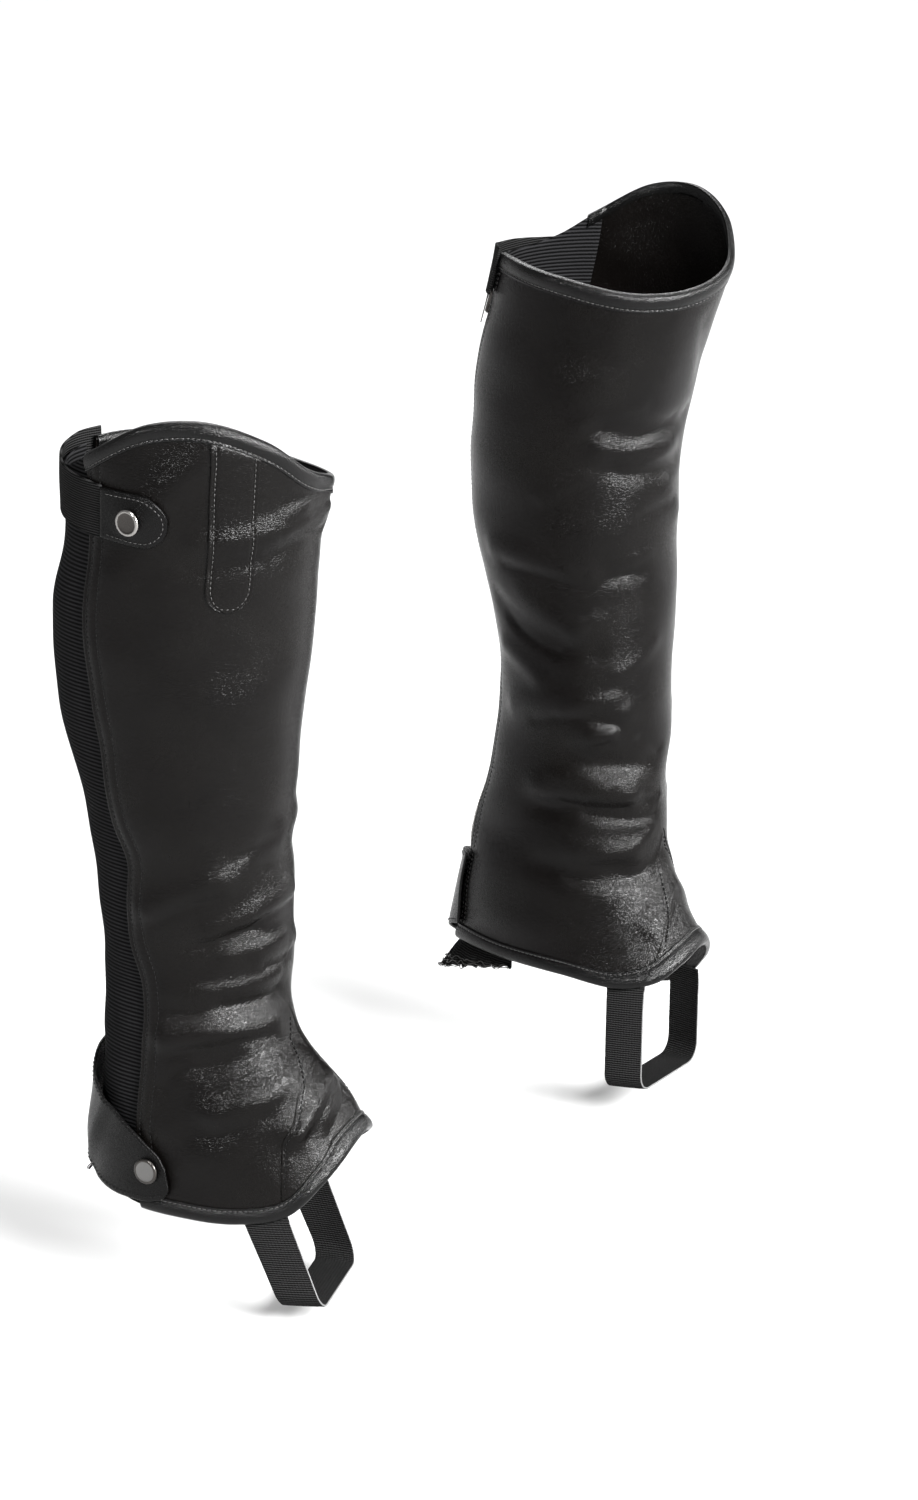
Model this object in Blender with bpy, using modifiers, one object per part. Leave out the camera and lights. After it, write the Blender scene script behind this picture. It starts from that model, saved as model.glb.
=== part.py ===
"""A pair of worn half chaps: leather gaiters for the lower leg, hollow and held in the pose of the wearer.

Each chap is an open tube. Its sections are ellipses that follow the leg from the boot to below the knee,
and every piece is a patch of that one surface, moved in or out by the layers that it lies on.

Angles run round the leg in degrees: 0 is the front, +90 the outer side, 180 the back, -90 the inner side.
Heights are above the ground under the boots. Sizes in the tables are millimetres.
"""
import math

import bmesh
import bpy
import numpy as np
from mathutils import Matrix, Vector

MM = 0.001
SEAM_GAP = 0.3

# Thickness of each material
LEATHER = 1.8
ELASTIC = 1.5
WEBBING = 1.5
TAPE = 1.2
BINDING = 1.2

# Widths of the narrow pieces
TOP_BINDING_DEPTH = 10.0
HEM_BINDING_DEPTH = 9.0
ELASTIC_LAP = 8.0
ZIP_OPENING = 10.0
ZIP_LAP = 7.0
CHAIN_WIDTH = 6.0
CHAIN_RISE = 1.0
STRAP_HALF_HEIGHT = 15.0
STRAP_END_HALF_HEIGHT = 14.0
STRAP_END_THICKNESS = 2.6
PATCH_HALF_ANGLE = 10.5
PATCH_FOOT = 421.0
SNAP_RADIUS = 7.6
SNAP_HEIGHT = 2.2
SLIDER_WIDTH = 8.0
STIRRUP_THICKNESS = 1.3
GATHER_DROP = 20.0
GATHER_FLARE = 12.0
GATHER_WAVES = 6
GATHER_SEAT = -2.7

# The origin is the middle of the right calf
ORIGIN_HEIGHT = 390.0

# Sections of the outer face: height, centre ahead of the leg's axis, half depth, half width
RIGHT_SECTIONS = (
    (60, 29, 90, 47), (84, 25.5, 86.5, 46.5), (97, 22, 83.5, 46), (110, 17.5, 78.5, 45), (123, 14, 74, 44.5),
    (137, 9.5, 68, 44), (150, 5.5, 62, 43.5), (163, 1.5, 57, 43), (178, -1, 54, 43), (216, -1, 55, 43),
    (255, -2, 57.5, 46), (294, -5, 61, 50), (332, -8, 67, 53), (371, -8.5, 72.5, 56),
    (409, -7, 75, 57.5), (447, -1, 74, 58), (485, 2, 76, 59), (530, 5, 80, 60),
)
LEFT_SECTIONS = (
    (70, 14, 98, 47), (91, 9, 92, 47), (106, 4, 85, 46), (120, 0, 78, 46), (134, -3, 72, 45),
    (149, -4, 67, 44), (165, -4, 64, 43.5), (180, -3, 62, 43), (200, 0, 58, 43), (220, 3, 56.5, 43),
    (248, 5, 56, 44), (276, 7, 54.5, 46), (304, 5.5, 56, 49), (332, 2, 60, 51), (359, -1, 63, 54),
    (387, -2, 65, 55), (428, 0, 67, 57), (469, 8, 69.5, 58), (505, 18, 70, 59), (534, 25.5, 70.5, 60),
    (570, 31, 72, 60),
)

# The cut of the hem and of the top: angle, height of the hem, rise of the top over its front
HEM = (
    (0, 107), (25, 102), (50, 85), (69, 67), (88, 62), (110, 63), (133, 66), (160, 76), (180, 85),
    (207, 93), (250, 93), (274, 91), (300, 87), (312, 90), (336, 101),
)
TOP_RISE = (
    (0, 0), (25, 9), (50, 28), (79, 40), (100, 37), (127, 19), (145, 7), (165, 2), (180, 2),
    (202, 5), (226, 7), (260, 4), (313, -5), (340, -4),
)

# The seam over the instep gusset: angle, height
GUSSET_SEAM = (
    (-46, 92), (-42, 99), (-30, 113), (-15, 134), (-6, 155), (0, 176), (12, 166), (29, 147),
    (50, 121), (62, 103), (68, 82), (70, 67.5),
)

# Back edges of the leather: share of the way up, angle of the outer edge, angle of the inner edge
LEATHER_EDGES = (
    (0.0, 126, -150), (0.12, 122, -150), (0.25, 115, -151), (0.42, 118, -157), (0.55, 121, -158),
    (0.76, 125, -157), (0.9, 129, -152), (1.0, 131, -150),
)

# Folds: angle and height of each end, bow of the line, half width, rise (a trough is negative)
RIGHT_FOLDS = (
    (-12, 466, 40, 461, 3, 8, 1.6), (-10, 450, 38, 446, 2, 8, -1.2),
    (-20, 290, 15, 287, 2, 8, 2.4), (-15, 272, 30, 268, -2, 9, -1.4),
    (4, 250, 68, 232, 3, 7, 2.2), (61, 262, 106, 242, 3, 7, 2.0), (10, 234, 70, 224, 2, 7, -1.6),
    (-5, 219, 36, 216, 2, 6, 1.8), (10, 190, 90, 184, -4, 8, -2.4), (26, 176, 100, 166, 3, 7, 2.8),
    (8, 161, 82, 152, 2, 7, -2.4), (38, 142, 86, 124, 3, 8, 3.0), (90, 118, 110, 100, 0, 8, -1.6),
    (2, 141, 52, 114, 4, 7, 2.8), (0, 126, 40, 107, 3, 7, -1.0),
    (-30, 250, -100, 240, 4, 8, 2.2), (-40, 226, -120, 218, -4, 9, -2.0), (-35, 196, -110, 188, 3, 8, 2.4),
    (-40, 168, -120, 160, 3, 9, -2.2), (-60, 142, -120, 134, 3, 8, 2.4), (-60, 330, -120, 318, 4, 10, -1.6),
)
LEFT_FOLDS = (
    (12, 437, -52, 437, -3, 8, -2.2), (-4, 424, -52, 425, -2, 7, 1.6), (6, 411, -44, 412, -3, 7, -1.8),
    (-28, 345, -60, 345, 2, 7, -1.6), (-60, 347, -120, 355, 2, 8, 1.8), (-58, 296, -82, 300, 0, 8, -1.6),
    (-82, 301, -126, 321, -3, 8, -2.0), (-98, 276, -128, 292, 2, 7, 1.8), (-40, 258, -120, 256, 8, 8, 1.8),
    (-52, 243, -60, 243, 0, 9, 2.6), (-74, 231, -18, 222, -2, 8, -2.2), (-92, 207, -34, 204, 2, 9, 3.0),
    (-92, 195, -18, 198, -3, 7, -2.6), (-30, 165, -64, 168, 2, 9, 2.4), (-88, 157, -2, 161, -3, 8, -2.0),
    (-2, 139, -30, 120, 3, 7, 2.2), (40, 250, 100, 242, 4, 8, 2.0), (30, 222, 104, 214, -3, 9, -2.0),
    (36, 196, 100, 186, 3, 8, 2.4), (30, 168, 96, 160, 3, 9, -2.2), (12, 138, 50, 116, 3, 7, 2.4),
)

# Ankle tab: angle, lower edge, upper edge
ANKLE_TAB = (
    (215, 104, 150), (198, 98, 149), (180, 89, 144), (162, 78, 134), (143, 71, 124), (129, 70, 114),
    (119, 71, 105), (114, 74, 97), (112, 78, 91),
)
# Top strap, from the inner leather round the back: angle, centre under the front's top, lift off the wall
TOP_STRAP = (
    (215, -4, 4.3), (203, -5, 4.8), (192, -7, 3.6), (178, -8, 1.4), (150, -11, 1.2), (134, -12, 2.3), (121, -14, 2.3),
)
STRAP_END_ANGLES = (120.4, 89.0)
STRAP_END_DROPS = (-14, -17)
TOP_SNAP = (104.0, -16.0)
ANKLE_SNAP = (120.0, 89.0)
TAB_LIFT = 4.1

LEGS = {
    "right": {
        "outward": -1, "axis": (8.0, -2.0), "toe_in": 13.0, "front_top": 488.0,
        "sections": RIGHT_SECTIONS, "folds": RIGHT_FOLDS,
        "stirrup_top": (34.0, 60.0), "stirrup_bottom": (58.0, 81.0), "stirrup_low": 12.0,
    },
    "left": {
        "outward": 1, "axis": (227.0, 339.0), "toe_in": 30.0, "front_top": 526.0,
        "sections": LEFT_SECTIONS, "folds": LEFT_FOLDS,
        "stirrup_top": (45.0, 67.0), "stirrup_bottom": (44.0, 66.0), "stirrup_low": 20.0,
    },
}

# Rows of the panels, closer together over the ankle, as shares of the way up
ROWS = np.concatenate([np.linspace(0.0, 0.42, 16)[:-1], np.linspace(0.42, 0.9, 9), (0.94, 0.97, 1.0)])
GUSSET_COLUMNS = (-46, -41, -32, -23, -15, -7, 0, 9, 18, 28, 39, 50, 58, 64, 68, 70)


def smooth(x, table, column):
    """Value of one column of a table at x, on cubic pieces that pass through every row."""
    rows = np.asarray(table, float)
    xs, ys = rows[:, 0], rows[:, column]
    slopes = np.gradient(ys, xs)
    x = np.clip(x, xs[0], xs[-1])
    i = np.clip(np.searchsorted(xs, x) - 1, 0, len(xs) - 2)
    span = xs[i + 1] - xs[i]
    t = (x - xs[i]) / span
    ends = ys[i] * (1 + 2 * t) * (1 - t) ** 2 + ys[i + 1] * t * t * (3 - 2 * t)
    return ends + span * (slopes[i] * t * (1 - t) ** 2 + slopes[i + 1] * t * t * (t - 1))


def round_the_leg(angle, table, column):
    """Value of a table that goes once round the leg, at any angle."""
    rows = np.asarray(table, float)
    turn = np.array([360.0] + [0.0] * (rows.shape[1] - 1))
    wrapped = np.concatenate([rows[-3:] - turn, rows, rows[:3] + turn])
    return smooth(np.mod(angle, 360.0), wrapped, column)


def hem_height(angle):
    return round_the_leg(angle, HEM, 1)


def top_height(leg, angle):
    return leg["front_top"] + round_the_leg(angle, TOP_RISE, 1)


def fold_rise(leg, angle, height, radius):
    """How far the folds push the surface out: each is a soft ridge or trough along a bowed line."""
    rise = np.zeros(np.broadcast(angle, height).shape)
    per_degree = np.radians(1.0) * radius
    for angle_a, height_a, angle_b, height_b, bow, half_width, depth in leg["folds"]:
        along = (angle_b - angle_a) * per_degree
        climb = height_b - height_a
        across = (np.mod(angle - angle_a + 180.0, 360.0) - 180.0) * per_degree
        up = height - height_a
        t = np.clip((across * along + up * climb) / (along**2 + climb**2), 0.0, 1.0)
        up = up - 4 * bow * t * (1 - t)
        distance = (across - t * along) ** 2 + (up - t * climb) ** 2
        rise += depth * np.exp(-distance / half_width**2)
    return rise


def skin(leg, angle, height):
    """Inner face of the leather, in the leg's frame: forward, outward, up.

    x = centre + half_depth * cos(angle), y = half_width * sin(angle), pushed out by the folds.
    """
    angle, height = np.broadcast_arrays(np.asarray(angle, float), np.asarray(height, float))
    centre = smooth(height, leg["sections"], 1)
    depth = smooth(height, leg["sections"], 2) - LEATHER
    width = smooth(height, leg["sections"], 3) - LEATHER
    push = fold_rise(leg, angle, height, (depth + width) / 2)
    turn = np.radians(angle)
    x = centre + (depth + push) * np.cos(turn)
    y = (width + push) * np.sin(turn)
    return np.stack([x, y, height], axis=-1)


def wall(leg, angle, height, out):
    """Point of the skin moved out along its normal by the distance out."""
    angle, height = np.broadcast_arrays(np.asarray(angle, float), np.asarray(height, float))
    round_step = skin(leg, angle + 0.5, height) - skin(leg, angle - 0.5, height)
    up_step = skin(leg, angle, height + 0.5) - skin(leg, angle, height - 0.5)
    normal = np.cross(round_step, up_step)
    normal /= np.linalg.norm(normal, axis=-1, keepdims=True)
    return skin(leg, angle, height) + normal * np.asarray(out, float)[..., None]


def turn_for(leg, angle, height, distance):
    """Angle reached by going the distance round the leg from an angle."""
    step = skin(leg, angle + 0.5, height) - skin(leg, angle - 0.5, height)
    return angle + distance / np.linalg.norm(step, axis=-1)


def placed(leg, points):
    """From the leg's frame in millimetres to the object's frame in metres."""
    toe = math.radians(leg["toe_in"])
    forward = np.array([math.cos(toe), -math.sin(toe), 0.0])
    outward = leg["outward"] * np.array([math.sin(toe), math.cos(toe), 0.0])
    base = np.array([*leg["axis"], -ORIGIN_HEIGHT])
    up = np.array([0.0, 0.0, 1.0])
    return (base + points[..., :1] * forward + points[..., 1:2] * outward + points[..., 2:] * up) * MM


def material(name, colour, roughness, metallic=0.0):
    made = bpy.data.materials.new(name)
    made.use_nodes = True
    shader = made.node_tree.nodes["Principled BSDF"]
    shader.inputs["Base Color"].default_value = (*colour, 1.0)
    shader.inputs["Roughness"].default_value = roughness
    shader.inputs["Metallic"].default_value = metallic
    return made


def add_object(name, points, faces, look):
    """Object from points and faces, with its faces turned outward."""
    mesh = bpy.data.meshes.new(name)
    mesh.from_pydata(points.tolist(), [], faces)
    work = bmesh.new()
    work.from_mesh(mesh)
    bmesh.ops.recalc_face_normals(work, faces=work.faces)
    work.to_mesh(mesh)
    work.free()
    mesh.shade_smooth()
    mesh.set_sharp_from_angle(angle=math.radians(40))
    mesh.materials.append(look)
    made = bpy.data.objects.new(name, mesh)
    COLLECTION.objects.link(made)
    return made


def sheet(name, leg, inner, outer, look):
    """Closed wall between two grids of points of the same shape.

    Every grid runs the same way round the leg, so that lapped walls have their diagonals alike.
    """
    rows, columns = inner.shape[:2]
    points = placed(leg, np.concatenate([inner.reshape(-1, 3), outer.reshape(-1, 3)]))
    back = rows * columns
    faces = []
    for i in range(rows - 1):
        for j in range(columns - 1):
            a, b = i * columns + j, i * columns + j + 1
            c, d = b + columns, a + columns
            faces += [(a, b, c), (a, c, d)]
            faces += [(a + back, c + back, b + back), (a + back, d + back, c + back)]
    rim = [j for j in range(columns)]
    rim += [i * columns + columns - 1 for i in range(1, rows)]
    rim += [(rows - 1) * columns + j for j in range(columns - 2, -1, -1)]
    rim += [i * columns for i in range(rows - 2, 0, -1)]
    for a, b in zip(rim, rim[1:] + rim[:1]):
        faces.append((a, a + back, b + back, b))
    return add_object(name, points, faces, look)


def sweep(name, leg, stations, look):
    """Closed bar through a row of like profiles: stations has the shape (along, round, 3)."""
    along, around = stations.shape[:2]
    points = placed(leg, stations.reshape(-1, 3))
    faces = [tuple(range(around)), tuple(range((along - 1) * around, along * around))]
    for i in range(along - 1):
        for j in range(around):
            k = (j + 1) % around
            faces.append((i * around + j, i * around + k, (i + 1) * around + k, (i + 1) * around + j))
    return add_object(name, points, faces, look)


def edge_angles(share):
    """Angles of the leather's outer and inner back edges at a share of the way up."""
    return smooth(share, LEATHER_EDGES, 1), smooth(share, LEATHER_EDGES, 2)


def height_at(leg, angle, share):
    low = hem_height(angle)
    return low + share * (top_height(leg, angle) - low)


def leather_columns(leg, share):
    """Angles of the leather's columns in one row, from the outer back edge round to the inner one."""
    outer, inner = edge_angles(share)
    outer_lap = turn_for(leg, outer, height_at(leg, outer, share), -ELASTIC_LAP)
    inner_lap = turn_for(leg, inner, height_at(leg, inner, share), ZIP_LAP)
    front = np.array(GUSSET_COLUMNS[::-1], float)
    return np.concatenate([
        [outer], np.linspace(outer_lap, front[0], 5)[:-1], front,
        np.linspace(front[-1], inner_lap, 9)[1:], [inner],
    ])


def gusset_top(angle):
    """Height of the gusset's seam, or of the hem where the gusset has ended."""
    inside = (angle > GUSSET_SEAM[0][0]) & (angle < GUSSET_SEAM[-1][0])
    return np.where(inside, smooth(angle, GUSSET_SEAM, 1), hem_height(angle))


def leather_grid(leg):
    """Angles and heights of the leather panel's points, row by row."""
    angles = np.array([leather_columns(leg, share) for share in ROWS])
    low = np.maximum(gusset_top(angles), hem_height(angles))
    return angles, low + ROWS[:, None] * (top_height(leg, angles) - low)


def leather_panel(side, leg, look):
    """The one large piece of leather, from the elastic round the front to the zip."""
    angles, heights = leather_grid(leg)
    inner = wall(leg, angles, heights, np.zeros(angles.shape))
    outer = wall(leg, angles, heights, np.full(angles.shape, LEATHER))
    sheet(f"{side}_leather_panel", leg, inner, outer, look)


def instep_gusset(side, leg, look):
    """Piece let in over the instep, parted from the panel by the seam's gap."""
    columns = np.array([-44.5, *GUSSET_COLUMNS[1:-1], 69.3])
    low = hem_height(columns)
    seam = np.interp(columns, GUSSET_COLUMNS, gusset_top(np.array(GUSSET_COLUMNS)))
    arc = np.linalg.norm(skin(leg, columns + 0.5, seam) - skin(leg, columns - 0.5, seam), axis=-1)
    slope = (smooth(columns + 0.2, GUSSET_SEAM, 1) - smooth(columns - 0.2, GUSSET_SEAM, 1)) / (0.4 * arc)
    seam = np.maximum(seam - SEAM_GAP * np.sqrt(1 + slope**2), low + 0.8)
    share = np.linspace(0.0, 1.0, 7)[:, None]
    heights = low + share * (seam - low)
    angles = np.broadcast_to(columns, heights.shape)
    inner = wall(leg, angles, heights, np.zeros(angles.shape))
    outer = wall(leg, angles, heights, np.full(angles.shape, LEATHER))
    sheet(f"{side}_instep_gusset", leg, inner, outer, look)


def elastic_columns(leg, share):
    """Angles of the elastic's columns, from the zip to its lap under the leather's outer edge."""
    outer, inner = edge_angles(share)
    lap = turn_for(leg, outer, height_at(leg, outer, share), -ELASTIC_LAP)
    zip_side = turn_for(leg, inner, height_at(leg, inner, share), -ZIP_OPENING) + 360.0
    zip_lap = turn_for(leg, inner, height_at(leg, inner, share), -ZIP_OPENING - ZIP_LAP) + 360.0
    return np.concatenate([[zip_side], np.linspace(zip_lap, outer, 6), [lap]])


def elastic_panel(side, leg, look):
    """Stretch panel that closes the back, lapped under the leather's outer edge."""
    angles = np.array([elastic_columns(leg, share) for share in ROWS])
    low = hem_height(angles)
    heights = low + ROWS[:, None] * (top_height(leg, angles) - low)
    outer = wall(leg, angles, heights, np.full(angles.shape, -SEAM_GAP))
    inner = wall(leg, angles, heights, np.full(angles.shape, -SEAM_GAP - ELASTIC))
    sheet(f"{side}_elastic_panel", leg, inner, outer, look)


def zip_profile():
    """Zip across the opening: distance from the leather's edge, inner face, outer face."""
    under_leather = -SEAM_GAP
    under_elastic = -SEAM_GAP - ELASTIC - SEAM_GAP
    half = CHAIN_WIDTH / 2
    middle = -ZIP_OPENING / 2
    return (
        (ZIP_LAP, under_leather - TAPE, under_leather), (0.0, under_leather - TAPE, under_leather),
        (middle + half + 0.2, -2.0, -0.8), (middle + half, -2.0, CHAIN_RISE),
        (middle - half, -2.8, CHAIN_RISE), (middle - half - 0.2, -2.8, -1.6),
        (-ZIP_OPENING, under_elastic - TAPE, under_elastic),
        (-ZIP_OPENING - ZIP_LAP, under_elastic - TAPE, under_elastic),
    )


def zip_grid(leg):
    """Angles and heights of the zip's points: it stops short of both bindings."""
    rows = ROWS[(ROWS > 0.03) & (ROWS < 0.97)]
    angles = []
    for share in rows:
        inner = edge_angles(share)[1]
        level = height_at(leg, inner, share)
        angles.append([turn_for(leg, inner, level, distance) for distance, _, _ in zip_profile()])
    angles = np.array(angles)
    return angles, height_at(leg, angles, rows[:, None])


def zip_closure(side, leg, look):
    """Closed zip: two tapes and the raised chain between them."""
    angles, heights = zip_grid(leg)
    inside = np.broadcast_to([row[1] for row in zip_profile()], angles.shape)
    outside = np.broadcast_to([row[2] for row in zip_profile()], angles.shape)
    inner = wall(leg, angles, heights, inside)
    outer = wall(leg, angles, heights, outside)
    sheet(f"{side}_zip", leg, inner, outer, look)


def frame_on(leg, angle, height, out):
    """Placement on the wall: X round the leg, Y up it and Z outward, right-handed."""
    centre = placed(leg, wall(leg, angle, height, out))
    beyond = placed(leg, wall(leg, angle, height, np.asarray(out) + 1.0))
    above = placed(leg, wall(leg, angle, height + 1.0, out))
    normal = Vector(beyond - centre).normalized()
    up = Vector(above - centre)
    up = (up - normal * up.dot(normal)).normalized()
    axes = Matrix((up.cross(normal), up, normal)).transposed().to_4x4()
    return Matrix.Translation(Vector(centre)) @ axes


def zip_slider(side, leg, look):
    """Slider at the top of the closed zip, its pull folded flat under the strap."""
    share = 0.93
    inner = edge_angles(share)[1]
    level = height_at(leg, inner, share)
    angle = turn_for(leg, inner, level, -ZIP_OPENING / 2)
    # side view of the slider: along the zip, out from the chain
    outline = ((-7, 0), (6, 0), (7, 0.5), (7, 1.4), (4, 2.2), (-6, 2.2), (-6, 1.4), (-7, 1.4))
    work = bmesh.new()
    half = SLIDER_WIDTH / 2 * MM
    face = work.faces.new([work.verts.new((-half, y * MM, z * MM)) for y, z in outline])
    extruded = bmesh.ops.extrude_face_region(work, geom=[face])
    moved = [item for item in extruded["geom"] if isinstance(item, bmesh.types.BMVert)]
    bmesh.ops.translate(work, verts=moved, vec=(2 * half, 0, 0))
    bmesh.ops.recalc_face_normals(work, faces=work.faces)
    mesh = bpy.data.meshes.new(f"{side}_zip_slider")
    work.to_mesh(mesh)
    work.free()
    mesh.materials.append(look)
    made = bpy.data.objects.new(f"{side}_zip_slider", mesh)
    made.matrix_world = frame_on(leg, angle, level, CHAIN_RISE + 2 * SEAM_GAP)
    COLLECTION.objects.link(made)


def binding(name, leg, angles, edge, depth, under, look):
    """Folded strip round an edge of the leather.

    edge is the height of the edge at each angle, depth how far the strip reaches down the wall
    (negative for a hem, where it reaches up), and under how much thicker the edge is inside.
    """
    way = math.copysign(1.0, depth)
    lip = way * (SEAM_GAP + BINDING)
    inside = -SEAM_GAP - np.asarray(under, float)
    outside = np.full(angles.shape, LEATHER + SEAM_GAP + 0.2)
    # corners of the U: height from the edge, distance out
    corners = (
        (-depth, outside), (-depth * 0.5, outside), (way * SEAM_GAP, outside),
        (way * SEAM_GAP, inside), (-depth * 0.6, inside), (-depth * 0.6, inside - BINDING),
        (lip, inside - BINDING * 0.5), (lip, outside + BINDING * 0.5),
        (-depth * 0.5, outside + BINDING + 0.1), (-depth, outside + BINDING * 0.7),
    )
    ring = [wall(leg, angles, edge + rise, out) for rise, out in corners]
    sweep(name, leg, np.stack(ring, axis=1), look)


def bindings(side, leg, look):
    """Bound top edge and bound hem of the leather."""
    for label, share, depth in (("top", 1.0, TOP_BINDING_DEPTH), ("hem", 0.0, -HEM_BINDING_DEPTH)):
        angles = leather_columns(leg, share)
        outer, after = angles[1], angles[1] - 2.0
        angles = np.concatenate([angles[:2], [after], angles[2:]])
        # the strip passes behind the elastic where that is lapped under the leather
        under = np.where(angles >= min(outer, after) - 0.01, ELASTIC + SEAM_GAP, 0.0)
        edge = top_height(leg, angles) if share else hem_height(angles)
        binding(f"{side}_{label}_binding", leg, angles, edge, depth, under, look)


def strip_on_wall(name, leg, angles, low, high, inside, thickness, look, rows=5):
    """Piece that lies on the wall between two edges, given along its length."""
    share = np.linspace(0.0, 1.0, rows)[:, None]
    heights = low + share * (high - low)
    angles = np.broadcast_to(angles, heights.shape)
    lift = np.broadcast_to(inside, heights.shape)
    inner = wall(leg, angles, heights, lift)
    outer = wall(leg, angles, heights, lift + thickness)
    sheet(name, leg, inner, outer, look)


def top_strap(side, leg, look):
    """Webbing sewn to the inner leather, round the back over the zip's end."""
    table = TOP_STRAP[::-1]
    angles = np.linspace(TOP_STRAP[-1][0], TOP_STRAP[0][0], 19)
    centre = leg["front_top"] + smooth(angles, table, 1)
    low, high = centre - STRAP_HALF_HEIGHT, centre + STRAP_HALF_HEIGHT
    strip_on_wall(f"{side}_top_strap", leg, angles, low, high, smooth(angles, table, 2), WEBBING, look, 3)


def strap_end(side, leg, look):
    """Leather end of the strap, with a round tip."""
    start, tip = STRAP_END_ANGLES
    reach = abs(turn_for(leg, tip, leg["front_top"] - 16.0, STRAP_END_HALF_HEIGHT) - tip)
    bend = np.array([0.0, 0.35, 0.62, 0.82, 0.94, 0.985])
    angles = np.concatenate([np.linspace(start, tip + reach, 6)[:-1], tip + reach * (1 - bend)])
    half = np.concatenate([np.ones(5), np.sqrt(1 - bend**2)]) * STRAP_END_HALF_HEIGHT
    drop = np.interp(angles, STRAP_END_ANGLES[::-1], STRAP_END_DROPS[::-1])
    centre = leg["front_top"] + drop
    strip_on_wall(f"{side}_strap_end", leg, angles, centre - half, centre + half,
                  TOP_STRAP[-1][2], STRAP_END_THICKNESS, look, 4)


def ankle_tab(side, leg, look):
    """Leather flap from the inner leather's edge, round the heel, over the zip's foot."""
    table = ANKLE_TAB[::-1]
    angles = np.concatenate([np.linspace(112.0, 122.0, 5)[:-1], np.linspace(122.0, 215.0, 16)])
    low, high = smooth(angles, table, 1), smooth(angles, table, 2)
    strip_on_wall(f"{side}_ankle_tab", leg, angles, low, high, TAB_LIFT, LEATHER, look, 4)


def side_patch(side, leg, look):
    """Narrow patch stitched on the outer side, from the top binding to a round foot."""
    across = np.linspace(-1.0, 1.0, 7)
    up = np.concatenate([[0.0, 0.35, 0.62, 0.82], np.linspace(1.0, 7.4, 8)])[:, None]
    half = np.sqrt(1 - np.clip(1 - up, 0.0, 0.97) ** 2)
    angles = np.interp(up, (0.0, 7.4), (59.5, 63.0)) + across * half * PATCH_HALF_ANGLE
    head = top_height(leg, angles) - TOP_BINDING_DEPTH - 2 * SEAM_GAP
    foot = PATCH_FOOT + leg["front_top"] - LEGS["right"]["front_top"]
    heights = foot + (head - foot) * up / 7.4
    lift = np.full(angles.shape, LEATHER + SEAM_GAP + 0.2)
    inner = wall(leg, angles, heights, lift)
    outer = wall(leg, angles, heights, lift + 1.3)
    sheet(f"{side}_side_patch", leg, inner, outer, look)


def snap(name, leg, angle, height, out, look):
    """Domed cap of a press stud, turned round its own axis."""
    profile = ((0.0, 1.0), (0.6, 0.9), (0.85, 0.62), (1.0, 0.5), (0.97, 0.0), (0.0, 0.0))
    mesh = bpy.data.meshes.new(name)
    points = [(radius * SNAP_RADIUS * MM, 0.0, rise * SNAP_HEIGHT * MM) for radius, rise in profile]
    mesh.from_pydata(points, [(i, i + 1) for i in range(len(points) - 1)], [])
    mesh.materials.append(look)
    made = bpy.data.objects.new(name, mesh)
    turned = made.modifiers.new("turned", "SCREW")
    turned.steps = turned.render_steps = 16
    turned.use_merge_vertices = True
    turned.merge_threshold = 0.00005
    made.matrix_world = frame_on(leg, angle, height, out)
    COLLECTION.objects.link(made)


def stirrup_path(leg, x):
    """Strap under the foot at a distance ahead of the axis: outward and up, from outer to inner side."""
    low = leg["stirrup_low"]
    bend, foot_half = 10.0, 43.0
    sides = []
    for way in (1, -1):
        edge = hem_height(70.0 * way)
        heights = np.array([edge + 11, edge + 4, edge - 3, (edge + low + bend) / 2, low + bend])
        centre, depth, width = (smooth(heights, leg["sections"], k) for k in (1, 2, 3))
        reach = width * np.sqrt(1 - np.clip((x - centre) / depth, -0.95, 0.95) ** 2)
        tucked = reach - LEATHER - BINDING - 3 * SEAM_GAP
        free = np.clip((edge - heights) / 30.0, 0.0, 1.0)
        out = tucked * (1 - free) + np.minimum(foot_half, tucked) * free
        turn = np.radians([30.0, 60.0, 90.0])
        corner = np.stack([out[-1] - bend * (1 - np.cos(turn)), low + bend * (1 - np.sin(turn))], axis=-1)
        run = np.concatenate([np.stack([out, heights], axis=-1), corner])
        run[:, 0] *= way
        sides.append(run)
    middle = np.array([[0.0, low]])
    return np.concatenate([sides[0], middle, sides[1][::-1]])


def stirrup(side, leg, look):
    """Elastic loop under the boot's arch, sewn inside the hem on both sides."""
    front_to_back = np.linspace(1.0, 0.0, 4)
    runs = []
    for place in front_to_back:
        head = leg["stirrup_top"][0] + place * (leg["stirrup_top"][1] - leg["stirrup_top"][0])
        foot = leg["stirrup_bottom"][0] + place * (leg["stirrup_bottom"][1] - leg["stirrup_bottom"][0])
        path = stirrup_path(leg, head)
        fall = np.clip((path[0, 1] - 8 - path[:, 1]) / (path[0, 1] - 8 - leg["stirrup_low"]), 0.0, 1.0)
        x = head + (foot - head) * fall
        runs.append(np.concatenate([x[:, None], path], axis=1))
    inner = np.stack(runs, axis=1)
    step = np.gradient(inner, axis=0)
    outward = np.stack([np.zeros(step.shape[:2]), step[..., 2], -step[..., 1]], axis=-1)
    outward /= -np.linalg.norm(outward, axis=-1, keepdims=True)
    sheet(f"{side}_stirrup", leg, inner - outward * STIRRUP_THICKNESS, inner, look)


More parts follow.
